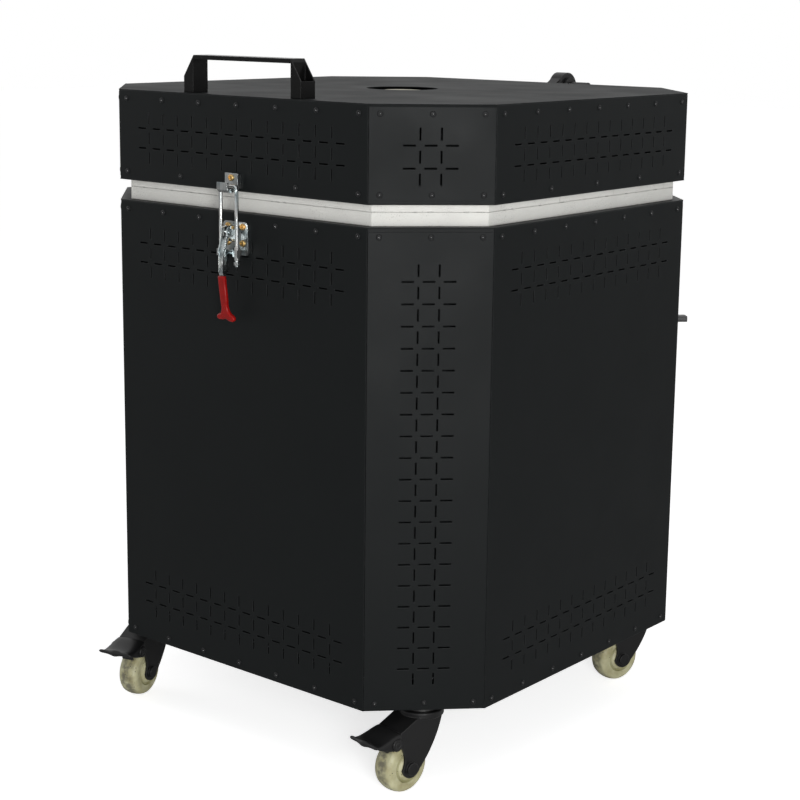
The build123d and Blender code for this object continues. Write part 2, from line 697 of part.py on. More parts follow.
def latch_lever():
    """Pressed channel over the ears, with a lobe for the trunnion and a flared wing above the strap."""
    p = LATCH_PIVOT_Z
    inner = LEVER_HALF - LEVER_SHEET
    wall = [(10.5, p + 4), (14, p + 8), (18, p + 9), (22, p + 7), (25, p + 2), (26, p - 8), (28.5, p - 17),
            (32, p - 26), (31, p - 32), (32, p - 44), (32, p - 54), (25, p - 56), (17, p - 50.5),
            (19.5, p - 44), (20.5, p - 36), (18, p - 33), (13, p - 33), (10.5, p - 31), (10.5, p - 26),
            (13, p - 24), (22, p - 24), (24.5, p - 22), (23.5, p - 16), (22, p - 10), (16, p - 6),
            (10.5, p - 4)]
    lever = out_profile(wall, LEVER_HALF)
    lever -= block((-inner, inner), (-HALF - 40, -HALF), (p - 70, p + 20))
    lever += out_profile([(25.5, p - 10), (27.5, p - 17), (30.5, p - 26), (29.5, p - 32), (31.5, p - 44),
                          (31.5, p - 54), (29.5, p - 54), (29.5, p - 44), (27.5, p - 32), (28.5, p - 26.5),
                          (25.8, p - 17.6), (23.8, p - 10.5)], inner)
    lever += grip_strap()
    lever -= latch_rod(LATCH_PIVOT_OUT, LATCH_PIVOT_Z, 3 + RUNNING, 30)
    lever -= latch_rod(LATCH_PIN_OUT, LATCH_PIN_Z, 2.5 + RUNNING, 30)
    return lever


def latch_grip():
    """Dipped grip over the strap, with a fish-tail end."""
    thick = 3.3
    side = [(GRIP_TOP_OUT + thick, GRIP_TOP_Z), (GRIP_LOW_OUT + thick, GRIP_LOW_Z),
            (GRIP_LOW_OUT - thick, GRIP_LOW_Z), (GRIP_TOP_OUT - thick, GRIP_TOP_Z)]
    body = out_profile(side, 20)
    front = [(-GRIP_HALF, GRIP_TOP_Z), (GRIP_HALF, GRIP_TOP_Z), (GRIP_HALF, GRIP_LOW_Z + 15),
             (17, GRIP_LOW_Z + 7), (16, GRIP_LOW_Z), (6, GRIP_LOW_Z + 2), (0, GRIP_LOW_Z + 6),
             (-6, GRIP_LOW_Z + 2), (-16, GRIP_LOW_Z), (-17, GRIP_LOW_Z + 7), (-GRIP_HALF, GRIP_LOW_Z + 15)]
    outline = latch_plane(0) * Polygon(*front, align=None)
    grip = body & extrude(outline, amount=60, dir=(0, -1, 0))
    return grip - grip_strap()


def latch_bolt():
    """U-bolt: two threaded rods joined by a bent top bar."""
    y = -HALF - LATCH_PIN_OUT
    low = LATCH_PIN_Z - BOLT_LOW
    top = LATCH_PIN_Z + BOLT_TALL
    path = FilletPolyline((-BOLT_HALF, y, low), (-BOLT_HALF, y, top), (BOLT_HALF, y, top),
                          (BOLT_HALF, y, low), radius=6)
    return sweep(Plane(origin=(-BOLT_HALF, y, low)) * Circle(BOLT_ROD), path=path)


def latch_trunnion():
    """Cross pin in the lever with a drilled block on each end for the rods."""
    y = -HALF - LATCH_PIN_OUT
    trunnion = latch_rod(LATCH_PIN_OUT, LATCH_PIN_Z, 2.5, 19)
    for side in (-1, 1):
        x = side * BOLT_HALF
        trunnion += block((x - 4, x + 4), (y - 4.5, y + 4.5), (LATCH_PIN_Z - 4.5, LATCH_PIN_Z + 4.5))
    for side in (-1, 1):
        x = side * BOLT_HALF
        trunnion -= rod((x, y, LATCH_PIN_Z - 10), (x, y, LATCH_PIN_Z + 10), BOLT_ROD)
    return trunnion


def latch_nuts():
    """Hexagon nuts above and below each block, their flats facing the lever."""
    y = -HALF - LATCH_PIN_OUT
    nut = extrude(Rot(0, 0, 30) * RegularPolygon(4, 6, major_radius=False), amount=4.5)
    nut -= Pos(0, 0, -1) * extrude(Circle(BOLT_ROD), amount=7)
    places = [(side * BOLT_HALF, LATCH_PIN_Z + z) for side in (-1, 1) for z in (4.6, -9.1, -16.2)]
    return [Pos(x, y, z) * nut for x, z in places]


def caster_stem(side_x, side_y):
    """Threaded stem, fixed top race, kingpin and its riveted head, in one turned piece."""
    x = side_x * KINGPIN
    y = side_y * KINGPIN
    crown = FORK_TOP - FORK_SHEET - 0.2
    stem = rod((x, y, crown), (x, y, BODY_LOW + 26), 6)
    stem += rod((x, y, BODY_LOW - RACE_HIGH), (x, y, BODY_LOW), RACE)
    stem += rod((x, y, crown - 3.5), (x, y, crown), 10)
    return stem


def caster_nut(side_x, side_y):
    nut = extrude(RegularPolygon(9.5, 6, major_radius=False), amount=9)
    nut -= Pos(0, 0, -1) * extrude(Circle(6), amount=12)
    return Pos(side_x * KINGPIN, side_y * KINGPIN, BODY_LOW + PAN + 6) * nut


def fork_leg_outline():
    """Side view of a leg: swept back edge, round toe, an ear in front, sloping crown on top."""
    back = ThreePointArc((-19, FORK_TOP), (-7, 73), (22, 34))
    toe = ThreePointArc((22, 34), (38, 24), (53.5, 37))
    front = ThreePointArc((53.5, 37), (49.5, 55), (60, 75))
    ear = ThreePointArc((60, 75), (74.5, 80), (66, 88))
    crown = Polyline((66, 88), (58, 90), (57, 93), (30, FORK_TOP), (-19, FORK_TOP))
    return make_face(back.edges() + toe.edges() + front.edges() + ear.edges() + crown.edges())


def caster_frame(side_x, side_y, angle):
    """Placement of a caster: local x points along its trail."""
    return Pos(side_x * KINGPIN, side_y * KINGPIN, 0) * Rot(0, 0, angle)


def caster_fork(braked):
    """Swivel head, sloping crown and two legs, with the axle bolt as a solid of its own."""
    head = rod((0, 0, FORK_TOP - FORK_SHEET), (0, 0, BODY_LOW - RACE_HIGH - 0.5), RACE + 6)
    head = fillet(head.edges().filter_by(GeomType.CIRCLE), 2)
    legs = extrude(Plane.XZ * fork_leg_outline(), amount=FORK_FAR, both=True)
    under = Polygon((-60, -1), (120, -1), (120, FORK_TOP), (57.5, FORK_TOP), (57.5, 90),
                    (29, FORK_TOP - FORK_SHEET), (-60, FORK_TOP - FORK_SHEET), align=None)
    legs -= extrude(Plane.XZ * under, amount=FORK_NEAR, both=True)
    fork = head + legs - rod((0, 0, 80), (0, 0, BODY_LOW), 6 + RUNNING)
    fork -= rod((TRAIL, -30, WHEEL), (TRAIL, 30, WHEEL), AXLE)
    if braked:
        fork -= rod((PEDAL_X, -30, PEDAL_Z), (PEDAL_X, 30, PEDAL_Z), PEDAL_PIN + RUNNING)
    axle = rod((TRAIL, -FORK_FAR - 1, WHEEL), (TRAIL, FORK_FAR + 1, WHEEL), AXLE)
    for side in (-1, 1):
        cap = Plane(origin=(TRAIL, side * FORK_FAR, WHEEL), z_dir=(0, side, 0))
        axle += extrude(cap * Circle(9), amount=4)
    return [fork, axle]


def caster_wheel():
    """Wheel with rounded shoulders and a groove round each hub face."""
    half = WHEEL_HALF
    hub = FORK_NEAR - 1
    tread = ThreePointArc((half - 5, WHEEL - 1.8), (0, WHEEL), (5 - half, WHEEL - 1.8))
    right = Polyline((half, 27), (half, 22), (half - 2.5, 21), (half - 2.5, 18.5), (half, 17.5),
                     (hub, 14), (hub, AXLE + RUNNING), (-hub, AXLE + RUNNING), (-hub, 14), (-half, 17.5),
                     (2.5 - half, 18.5), (2.5 - half, 21), (-half, 22), (-half, 27))
    shoulders = [ThreePointArc((half, 27), (half - 1.2, 32.3), (half - 5, WHEEL - 1.8)),
                 ThreePointArc((-half, 27), (1.2 - half, 32.3), (5 - half, WHEEL - 1.8))]
    face = make_face(tread.edges() + right.edges() + shoulders[0].edges() + shoulders[1].edges())
    wheel = revolve(face, Axis.X)
    return Pos(TRAIL, 0, WHEEL) * Rot(0, 0, 90) * wheel


def pedal_rod(x, z, radius, half):
    return rod((x, -half, z), (x, half, z), radius)


def brake_pedal():
    """Pressed pedal: curved tread plate, rolled lip, side cheeks, pin and the shoe over the wheel."""
    top = ThreePointArc((58.5, 94), (80, 88.5), (103, 87))
    under = ThreePointArc((103, 84), (80, 85.8), (58.5, 91.3))
    ends = [Line((103, 87), (103, 84)), Line((58.5, 91.3), (58.5, 94))]
    plate = make_face(top.edges() + under.edges() + ends[0].edges() + ends[1].edges())
    pedal = extrude(Plane.XZ * plate, amount=PEDAL_HALF, both=True)
    pedal += pedal_rod(104.5, 85.5, 3.5, PEDAL_HALF + 2)
    cheek = Polygon((58.5, 92), (60, 76), (67, 71.5), (80, 74), (98, 81), (103, 85.5), (80, 87), align=None)
    cheeks = extrude(Plane.XZ * cheek, amount=PEDAL_HALF, both=True)
    cheeks += pedal_rod(PEDAL_X, PEDAL_Z, PEDAL_BOSS, PEDAL_HALF + 1.5)
    pedal += cheeks - block((0, 120), (-FORK_FAR - 0.5, FORK_FAR + 0.5), (0, 120))
    pedal += pedal_rod(PEDAL_X, PEDAL_Z, PEDAL_PIN, PEDAL_HALF)
    pedal += block((67, 72), (-9, 9), (64, 82))
    return pedal


def control_place(u, v, out):
    """A spot on the left side: u to the viewer's right, v up, out from the casing."""
    return PLANES["left"] * Pos(u, v, out)


def control_box(u, v, out):
    size = Box(u[1] - u[0], v[1] - v[0], out[1] - out[0], align=Align.MIN)
    return control_place(u[0], v[0], out[0]) * size


def control_housing():
    wall = BOX_SHEET
    inner = BOX_HALF - wall
    shell = control_box((-BOX_HALF, BOX_HALF), (BOX_LOW, BOX_TOP), (0, BOX_DEEP))
    shell -= control_box((-inner, inner), (BOX_LOW + wall, BOX_TOP - wall), (wall, BOX_DEEP + 1))
    window = (BOX_LOW + WINDOW_EDGE, BOX_TOP - WINDOW_EDGE)
    shell -= control_box((-WINDOW_HALF, WINDOW_HALF), window, (-1, wall + 1))
    hole = control_place(GLAND_SIDE, BOX_LOW, GLAND_OUT) * Rot(90, 0, 0) * Cylinder(12, 8)
    return shell - hole


def control_cover():
    cover = control_box((-BOX_HALF, BOX_HALF), (BOX_LOW, BOX_TOP), (BOX_DEEP, BOX_DEEP + COVER))
    reach = CONTROLLER / 2 - 2
    tall = (CONTROLLER_Z - reach, CONTROLLER_Z + reach)
    cover -= control_box((-reach, reach), tall, (BOX_DEEP - 1, BOX_DEEP + 5))
    cover -= control_place(0, SWITCH_Z, BOX_DEEP) * Cylinder(4 + RUNNING, 10)
    return cover


def key_places():
    return {"key_down": -KEY_STEP, "key_up": 0.0, "key_run": KEY_STEP}


def controller():
    """Panel-mounted temperature controller: body behind the cover, bezel in front."""
    reach = CONTROLLER / 2 - 2
    front = BOX_DEEP + COVER
    unit = control_box((-reach, reach), (CONTROLLER_Z - reach, CONTROLLER_Z + reach), (32, front))
    half = CONTROLLER / 2
    unit += control_box((-half, half), (CONTROLLER_Z - half, CONTROLLER_Z + half), (front, front + 7))
    unit -= control_box((-38, 38), (CONTROLLER_Z - 14, CONTROLLER_Z + 38), (front + 5, front + 8))
    for u in key_places().values():
        wide = KEY_WIDE / 2 + KEY_CLEAR
        high = KEY_HIGH / 2 + KEY_CLEAR
        unit -= control_box((u - wide, u + wide), (KEY_Z - high, KEY_Z + high), (front - 2, front + 8))
    return unit


def control_key(u):
    front = BOX_DEEP + COVER + 7 + KEY_OUT
    key = control_box((u - KEY_WIDE / 2, u + KEY_WIDE / 2), (KEY_Z - KEY_HIGH / 2, KEY_Z + KEY_HIGH / 2),
                      (front - 9, front))
    return key


def power_switch():
    """Rotary switch: shaft through the cover, round skirt and raised grip."""
    front = BOX_DEEP + COVER + 0.3
    knob = control_place(0, SWITCH_Z, front) * extrude(Circle(21), amount=5)
    knob += control_place(0, SWITCH_Z, front + 5) * extrude(RectangleRounded(11, 38, 4), amount=15)
    knob += control_place(0, SWITCH_Z, BOX_DEEP - 20) * extrude(Circle(4), amount=20 + COVER + 0.3)
    return knob


def contactor():
    """Power relay on a rail that bridges the window."""
    body = control_box((-30, 30), (330, 405), (34, 84))
    for u in (-20, 0, 20):
        for v in (335, 400):
            body -= control_place(u, v, 84) * Cylinder(4.5, 8)
    rail = control_box((-85, 85), (350, 385), (30, 34))
    for side in (-1, 1):
        foot = sorted((side * 65, side * 85))
        rail += control_box(foot, (350, 385), (BOX_SHEET, 30))
    return body + rail


def terminal_block():
    """Row of supply terminals near the gland."""
    row = control_box((-15, 85), (245, 275), (BOX_SHEET + 4, 38))
    for step in range(5):
        row -= control_place(-3 + step * 19, 260, 38) * Cylinder(5, 12)
    return row + control_box((64, 85), (245, 275), (BOX_SHEET, BOX_SHEET + 4))


def cable_gland():
    """Screwed gland through the bottom wall of the box, with a clear bore."""
    down = control_place(GLAND_SIDE, BOX_LOW, GLAND_OUT) * Rot(90, 0, 0)
    nut = extrude(RegularPolygon(15, 6, major_radius=False), amount=7)
    dome = Pos(0, 0, 7) * extrude(Circle(13), amount=13)
    dome = fillet(dome.edges().filter_by(GeomType.CIRCLE).sort_by(Axis.Z)[-1], 3)
    thread = Pos(0, 0, -12) * extrude(Circle(12), amount=12)
    lock = Pos(0, 0, -BOX_SHEET - 5) * extrude(RegularPolygon(15, 6, major_radius=False), amount=5)
    gland = nut + dome + thread + lock
    gland -= Pos(0, 0, -20) * extrude(Circle(GLAND_BORE), amount=50)
    return down * gland


def left_panel_and_box():
    save("control_housing", control_housing())
    save("control_cover", control_cover())
    save("controller", controller())
    save("contactor", contactor())
    save("terminal_block", terminal_block())
    save("cable_gland", cable_gland())
    save("power_switch", power_switch())
    for name, u in key_places().items():
        save(name, control_key(u))


def cabinet():
    save("base_frame", base_frame())
    save("top_ledge", top_ledge())
    for name in SIDES:
        save(f"{name}_panel", body_side_panel(name))
    save("corner_panels", [body_corner_panel(name) for name in CORNERS])
    save("body_rivets", on_every_side(rivet(), BODY_RIVETS))
    save("brick_tray", tray())
    save("floor_bricks", floor_bricks())
    save("wall_bricks", wall_bricks())
    save("rim_bricks", wall_segments(casing(RIM_INSET), CHAMBER, RIM_LOW, RIM_TOP))
    save("inner_jacket", inner_jacket())
    save("heating_elements", heating_elements())
    save("element_terminals", element_terminals())
    save("thermocouple", thermocouple())
    save("thermocouple_head", thermocouple_head())
    save("hinge_bracket", hinge_bracket())
    save("hinge_pin", hinge_pin())
    save("cabinet_screws", cabinet_screws())


def lid():
    save("lid_top", lid_top())
    save("lid_panels", [lid_panel(name) for name in list(SIDES) + list(CORNERS)])
    save("lid_frame", lid_frame())
    save("lid_bricks", lid_bricks())
    save("lid_rivets", on_every_side(rivet(), LID_RIVETS))
    save("lid_screws", lid_screws())
    save("lid_handle", lid_handle())
    save("vent_sleeve", vent_sleeve())
    save("vent_plug", vent_plug())
    save("hinge_arm", hinge_arm())
    save("latch_catch", latch_catch())


def latch():
    save("latch_base", latch_base())
    save("latch_pivot", latch_pivot())
    save("latch_lever", latch_lever())
    save("latch_grip", latch_grip())
    save("latch_bolt", latch_bolt())
    save("latch_trunnion", latch_trunnion())
    save("latch_nuts", latch_nuts())


def casters():
    save("caster_stems", [caster_stem(x, y) for x, y, _, _ in CASTERS.values()])
    save("caster_nuts", [caster_nut(x, y) for x, y, _, _ in CASTERS.values()])
    for name, (side_x, side_y, angle, braked) in CASTERS.items():
        place = caster_frame(side_x, side_y, angle)
        save(f"fork_{name}", [place * piece for piece in caster_fork(braked)])
        save(f"wheel_{name}", place * caster_wheel())
        if braked:
            save(f"pedal_{name}", place * brake_pedal())


cabinet()
left_panel_and_box()
lid()
latch()
casters()
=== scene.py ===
import json
import math

import bmesh
import bpy
from mathutils import Matrix, Vector


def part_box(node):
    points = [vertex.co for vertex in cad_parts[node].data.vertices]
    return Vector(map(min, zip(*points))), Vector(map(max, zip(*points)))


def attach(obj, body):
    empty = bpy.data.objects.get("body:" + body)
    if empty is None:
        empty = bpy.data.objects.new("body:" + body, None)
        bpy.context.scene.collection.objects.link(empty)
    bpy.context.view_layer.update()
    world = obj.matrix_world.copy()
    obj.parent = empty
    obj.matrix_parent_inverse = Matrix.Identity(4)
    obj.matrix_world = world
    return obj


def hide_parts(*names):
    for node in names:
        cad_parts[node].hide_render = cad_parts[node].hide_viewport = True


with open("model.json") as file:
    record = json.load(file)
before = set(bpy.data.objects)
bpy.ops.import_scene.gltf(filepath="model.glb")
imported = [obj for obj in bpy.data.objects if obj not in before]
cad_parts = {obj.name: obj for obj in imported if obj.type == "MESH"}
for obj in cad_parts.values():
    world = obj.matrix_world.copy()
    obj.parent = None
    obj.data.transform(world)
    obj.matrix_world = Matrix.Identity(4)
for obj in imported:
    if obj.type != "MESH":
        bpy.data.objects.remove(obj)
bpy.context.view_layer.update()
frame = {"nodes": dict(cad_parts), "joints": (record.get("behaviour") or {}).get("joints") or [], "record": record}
nodes = frame["nodes"]
MM = 0.001

# Camera, solved from the casing's corners in the photograph
CAMERA_PLACE = (1.7002, -2.0604, 1.0552)
CAMERA_YAW = 39.499
CAMERA_PITCH = 11.09
CAMERA_ROLL = 0.70
FOCAL_PIXELS = 1776.2
IMAGE_PIXELS = 800
CENTRE_UP = 50          # pixels from the picture's middle up to the lens axis; it is a crop
SENSOR_MM = 36.0

# Studio: name, place, target, size and power of each lamp, in metres and watts
LAMPS = [
    ("key", (2.6, -2.35, 0.95), (0, 0, 0.6), (0.9, 1.5), 78),
    ("top", (0.4, -0.4, 3.2), (0, 0, 0.9), (2.5, 2.5), 16),
    ("side", (-3.0, -0.9, 1.6), (0, 0, 0.5), (1.2, 2.4), 14),
]
WORLD_LEVEL = 0.3
FLOOR_SIZE = 30
FLOOR_HEIGHT = -0.0005
FLOOR_LIFT = 0.72

# Casing, from the frame
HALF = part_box("right_panel")[1].x
corner_vertices = nodes["corner_panels"].data.vertices
CORNER_REACH = max(abs(vertex.co.x) + abs(vertex.co.y) for vertex in corner_vertices) / math.sqrt(2)
LATCH_PIVOT_Z = sum(corner.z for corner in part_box("latch_pivot")) / 2


def in_mm(pairs):
    return [(first * MM, second * MM) for first, second in pairs]


def shade(color, factor):
    return tuple(factor * channel for channel in color)


def add_object(name, data):
    thing = bpy.data.objects.new(name, data)
    bpy.context.scene.collection.objects.link(thing)
    return thing


def make_camera():
    yaw = math.radians(CAMERA_YAW)
    pitch = math.radians(CAMERA_PITCH)
    roll = math.radians(CAMERA_ROLL)
    ahead = Vector((-math.sin(yaw) * math.cos(pitch), math.cos(yaw) * math.cos(pitch), -math.sin(pitch)))
    level = Vector((math.cos(yaw), math.sin(yaw), 0))
    above = level.cross(ahead)
    right = level * math.cos(roll) + above * math.sin(roll)
    up = above * math.cos(roll) - level * math.sin(roll)
    data = bpy.data.cameras.new("camera")
    data.sensor_width = SENSOR_MM
    data.lens = FOCAL_PIXELS / IMAGE_PIXELS * SENSOR_MM
    data.shift_y = -CENTRE_UP / IMAGE_PIXELS
    camera = add_object("camera", data)
    turn = Matrix((right, up, -ahead)).transposed().to_4x4()
    camera.matrix_world = Matrix.Translation(CAMERA_PLACE) @ turn
    bpy.context.scene.camera = camera


def make_light(name, place, target, size, power):
    data = bpy.data.lights.new(name, "AREA")
    data.shape = "RECTANGLE"
    data.size, data.size_y = size
    data.energy = power
    light = add_object(name, data)
    light.location = place
    light.rotation_euler = (Vector(target) - Vector(place)).to_track_quat("-Z", "Y").to_euler()


def link(tree, source, target):
    tree.links.new(source, target)


def seen_mask(tree, path):
    """1 for rays from the camera, also through clear things."""
    seen = tree.nodes.new("ShaderNodeMath")
    seen.operation = "MAXIMUM"
    link(tree, path.outputs["Is Camera Ray"], seen.inputs[0])
    link(tree, path.outputs["Is Transmission Ray"], seen.inputs[1])
    return seen.outputs[0]


def make_world():
    """White to the camera and in reflections, and a plain lower level as a lamp."""
    world = bpy.data.worlds.new("studio")
    bpy.context.scene.world = world
    world.use_nodes = True
    tree = world.node_tree
    background = tree.nodes["Background"]
    background.inputs["Color"].default_value = (1, 1, 1, 1)
    path = tree.nodes.new("ShaderNodeLightPath")
    both = tree.nodes.new("ShaderNodeMath")
    both.operation = "MAXIMUM"
    link(tree, seen_mask(tree, path), both.inputs[0])
    link(tree, path.outputs["Is Glossy Ray"], both.inputs[1])
    spread = tree.nodes.new("ShaderNodeMapRange")
    spread.inputs["To Min"].default_value = WORLD_LEVEL
    spread.inputs["To Max"].default_value = 1.0
    link(tree, both.outputs[0], spread.inputs["Value"])
    link(tree, spread.outputs[0], background.inputs["Strength"])


def make_floor():
    """White floor that keeps the object's shadow."""
    bpy.ops.mesh.primitive_plane_add(size=FLOOR_SIZE, location=(0, 0, FLOOR_HEIGHT))
    floor = bpy.context.object
    floor.name = "studio_floor"
    material = bpy.data.materials.new("studio_white")
    material.use_nodes = True
    tree = material.node_tree
    shader = tree.nodes["Principled BSDF"]
    shader.inputs["Base Color"].default_value = (0.88, 0.88, 0.88, 1)
    shader.inputs["Roughness"].default_value = 0.9
    shader.inputs["Specular IOR Level"].default_value = 0.1
    path = tree.nodes.new("ShaderNodeLightPath")
    lift = tree.nodes.new("ShaderNodeMath")
    lift.operation = "MULTIPLY"
    lift.inputs[1].default_value = FLOOR_LIFT
    link(tree, seen_mask(tree, path), lift.inputs[0])
    shader.inputs["Emission Color"].default_value = (1, 1, 1, 1)
    link(tree, lift.outputs[0], shader.inputs["Emission Strength"])
    floor.data.materials.append(material)


def start_material(name, color, roughness, metallic=0.0, specular=0.5):
    material = bpy.data.materials.new(name)
    material.use_nodes = True
    shader = material.node_tree.nodes["Principled BSDF"]
    shader.inputs["Base Color"].default_value = (*color, 1)
    shader.inputs["Roughness"].default_value = roughness
    shader.inputs["Metallic"].default_value = metallic
    shader.inputs["Specular IOR Level"].default_value = specular
    return material, material.node_tree, shader


def place_coords(tree, stretch=(1, 1, 1), shift=(0, 0, 0)):
    coords = tree.nodes.new("ShaderNodeTexCoord")
    mapping = tree.nodes.new("ShaderNodeMapping")
    mapping.inputs["Scale"].default_value = stretch
    mapping.inputs["Location"].default_value = shift
    link(tree, coords.outputs["Object"], mapping.inputs["Vector"])
    return mapping.outputs["Vector"]


def noise(tree, scale, detail=3.0, stretch=(1, 1, 1), shift=(0, 0, 0)):
    """Cloudy values about 0.5; scale is in features per metre."""
    texture = tree.nodes.new("ShaderNodeTexNoise")
    texture.inputs["Scale"].default_value = scale
    texture.inputs["Detail"].default_value = detail
    link(tree, place_coords(tree, stretch, shift), texture.inputs["Vector"])
    return texture.outputs["Fac"]


def cells(tree, scale, feature="F1", stretch=(1, 1, 1)):
    texture = tree.nodes.new("ShaderNodeTexVoronoi")
    texture.feature = feature
    texture.inputs["Scale"].default_value = scale
    link(tree, place_coords(tree, stretch), texture.inputs["Vector"])
    return texture.outputs["Distance"]


def spread_range(tree, value, low, high, to_low=0.0, to_high=1.0):
    node = tree.nodes.new("ShaderNodeMapRange")
    node.inputs["From Min"].default_value = low
    node.inputs["From Max"].default_value = high
    node.inputs["To Min"].default_value = to_low
    node.inputs["To Max"].default_value = to_high
    link(tree, value, node.inputs["Value"])
    return node.outputs["Result"]


def combine(tree, operation, first, second):
    node = tree.nodes.new("ShaderNodeMath")
    node.operation = operation
    for socket, value in zip(node.inputs, (first, second)):
        if isinstance(value, (int, float)):
            socket.default_value = value
        else:
            link(tree, value, socket)
    return node.outputs[0]


def blend_colors(tree, factor, first, second):
    node = tree.nodes.new("ShaderNodeMix")
    node.data_type = "RGBA"
    for socket, value in zip((node.inputs[6], node.inputs[7]), (first, second)):
        if isinstance(value, tuple):
            socket.default_value = (*value, 1)
        else:
            link(tree, value, socket)
    link(tree, factor, node.inputs[0])
    return node.outputs[2]


def rounded_normal(tree, radius):
    """A normal that is rounded along sharp edges."""
    bevel = tree.nodes.new("ShaderNodeBevel")
    bevel.samples = 6
    bevel.inputs["Radius"].default_value = radius
    return bevel.outputs["Normal"]


def edge_mask(tree, normal):
    """1 where a rounded normal turns away from the face, which is along the edges."""
    geometry = tree.nodes.new("ShaderNodeNewGeometry")
    dot = tree.nodes.new("ShaderNodeVectorMath")
    dot.operation = "DOT_PRODUCT"
    link(tree, normal, dot.inputs[0])
    link(tree, geometry.outputs["Normal"], dot.inputs[1])
    return spread_range(tree, dot.outputs["Value"], 0.99, 0.85)


def add_bump(tree, shader, height, distance, strength=1.0, normal=None):
    bump = tree.nodes.new("ShaderNodeBump")
    bump.inputs["Distance"].default_value = distance
    bump.inputs["Strength"].default_value = strength
    link(tree, height, bump.inputs["Height"])
    if normal is not None:
        link(tree, normal, bump.inputs["Normal"])
    link(tree, bump.outputs["Normal"], shader.inputs["Normal"])


def powder_coat(name, color, edge_color, roughness, grain=700.0, edge_paling=0.35, specular=0.09):
    """Baked black coating: fine orange peel, faint clouds, and paler edges that are partly real wear and partly a
    painted highlight.
    """
    material, tree, shader = start_material(name, color, roughness, specular=specular)
    normal = rounded_normal(tree, 1.5 * MM)
    edge = edge_mask(tree, normal)
    clouds = spread_range(tree, noise(tree, 7.0, 4.0), 0.3, 0.7, 0.0, 0.35)
    scuffs = spread_range(tree, noise(tree, 60.0, 5.0, shift=(3, 1, 2)), 0.52, 0.7)
    # Paler colour along every edge: partly real wear in scuffed patches, partly a painted highlight where the
    # rounded edges catch light.
    edge_wear_and_highlight = combine(tree, "MULTIPLY", edge, spread_range(tree, scuffs, 0.0, 1.0, edge_paling * 0.4, edge_paling))
    tone = blend_colors(tree, clouds, color, shade(color, 1.25))
    link(tree, blend_colors(tree, edge_wear_and_highlight, tone, edge_color), shader.inputs["Base Color"])
    handling = noise(tree, 11.0, 3.0, shift=(5, 5, 5))
    polish = spread_range(tree, handling, 0.3, 0.7, roughness - 0.04, roughness + 0.05)
    link(tree, polish, shader.inputs["Roughness"])
    add_bump(tree, shader, noise(tree, grain, 2.0), 0.12 * MM, 0.5, normal)
    return material


def firebrick(name, color, dark_above=None):
    """Soft insulating brick: chalky, with fine pits and small chips along the edges."""
    material, tree, shader = start_material(name, color, 0.95, specular=0.1)
    normal = rounded_normal(tree, 2.0 * MM)
    edge = edge_mask(tree, normal)
    clouds = spread_range(tree, noise(tree, 18.0, 5.0), 0.3, 0.7)
    tone = blend_colors(tree, clouds, shade(color, 0.92), color)
    pits = spread_range(tree, cells(tree, 420.0), 0.1, 0.26)
    some = spread_range(tree, noise(tree, 26.0, 3.0, shift=(2, 7, 1)), 0.62, 0.5)
    pits = combine(tree, "MAXIMUM", pits, some)
    tone = blend_colors(tree, pits, shade(color, 0.6), tone)
    chips = spread_range(tree, noise(tree, 75.0, 4.0, shift=(4, 2, 6)), 0.56, 0.66)
    chips = combine(tree, "MULTIPLY", chips, edge)
    tone = blend_colors(tree, chips, tone, shade(color, 0.45))
    # Painted shade: above the height dark_above the brick blends to a near-black colour, standing in for the shade
    # inside the lid's casing.
    if dark_above is not None:
        apart = tree.nodes.new("ShaderNodeSeparateXYZ")
        link(tree, place_coords(tree), apart.inputs[0])
        shade_mask = spread_range(tree, apart.outputs["Z"], dark_above, dark_above + 2 * MM)
        tone = blend_colors(tree, shade_mask, tone, LID_SHADE_COLOR)
    link(tree, tone, shader.inputs["Base Color"])
    rough = combine(tree, "ADD", noise(tree, 250.0, 6.0), combine(tree, "MULTIPLY", pits, 0.5))
    add_bump(tree, shader, rough, 0.8 * MM, 0.7, normal)
    return material


def plated(name, color, tint, roughness, metallic=1.0):
    """Zinc-plated or passivated metal with cloudy tints and fine scratches."""
    material, tree, shader = start_material(name, color, roughness, metallic)
    normal = rounded_normal(tree, 0.5 * MM)
    clouds = spread_range(tree, noise(tree, 45.0, 4.0), 0.38, 0.66)
    link(tree, blend_colors(tree, clouds, color, tint), shader.inputs["Base Color"])
    scratches = noise(tree, 160.0, 5.0, (1, 1, 0.15))
    rub = spread_range(tree, scratches, 0.35, 0.7, roughness - 0.08, roughness + 0.16)
    link(tree, rub, shader.inputs["Roughness"])
    add_bump(tree, shader, noise(tree, 900.0, 3.0), 0.05 * MM, 0.4, normal)
    return material


def plastic(name, color, roughness):
    """Moulded plastic or print with a fine grain and a little dust."""
    material, tree, shader = start_material(name, color, roughness)
    normal = rounded_normal(tree, 0.6 * MM)
    dust = spread_range(tree, noise(tree, 40.0, 5.0), 0.5, 0.75, 0.0, 0.2)
    pale = tuple(min(1.0, 0.6 * c + 0.12) for c in color)
    link(tree, blend_colors(tree, dust, color, pale), shader.inputs["Base Color"])
    add_bump(tree, shader, noise(tree, 900.0, 2.0), 0.06 * MM, 0.5, normal)
    return material


def dipped_vinyl(name, color):
    """Thick glossy dip with soft lumps and cloudy tone."""
    material, tree, shader = start_material(name, color, 0.36, specular=0.16)
    shader.inputs["Coat Weight"].default_value = 0.05
    shader.inputs["Coat Roughness"].default_value = 0.2
    clouds = spread_range(tree, noise(tree, 60.0, 3.0), 0.3, 0.7)
    link(tree, blend_colors(tree, clouds, color, shade(color, 0.72)), shader.inputs["Base Color"])
    add_bump(tree, shader, noise(tree, 110.0, 2.0), 0.5 * MM, 0.5)
    return material


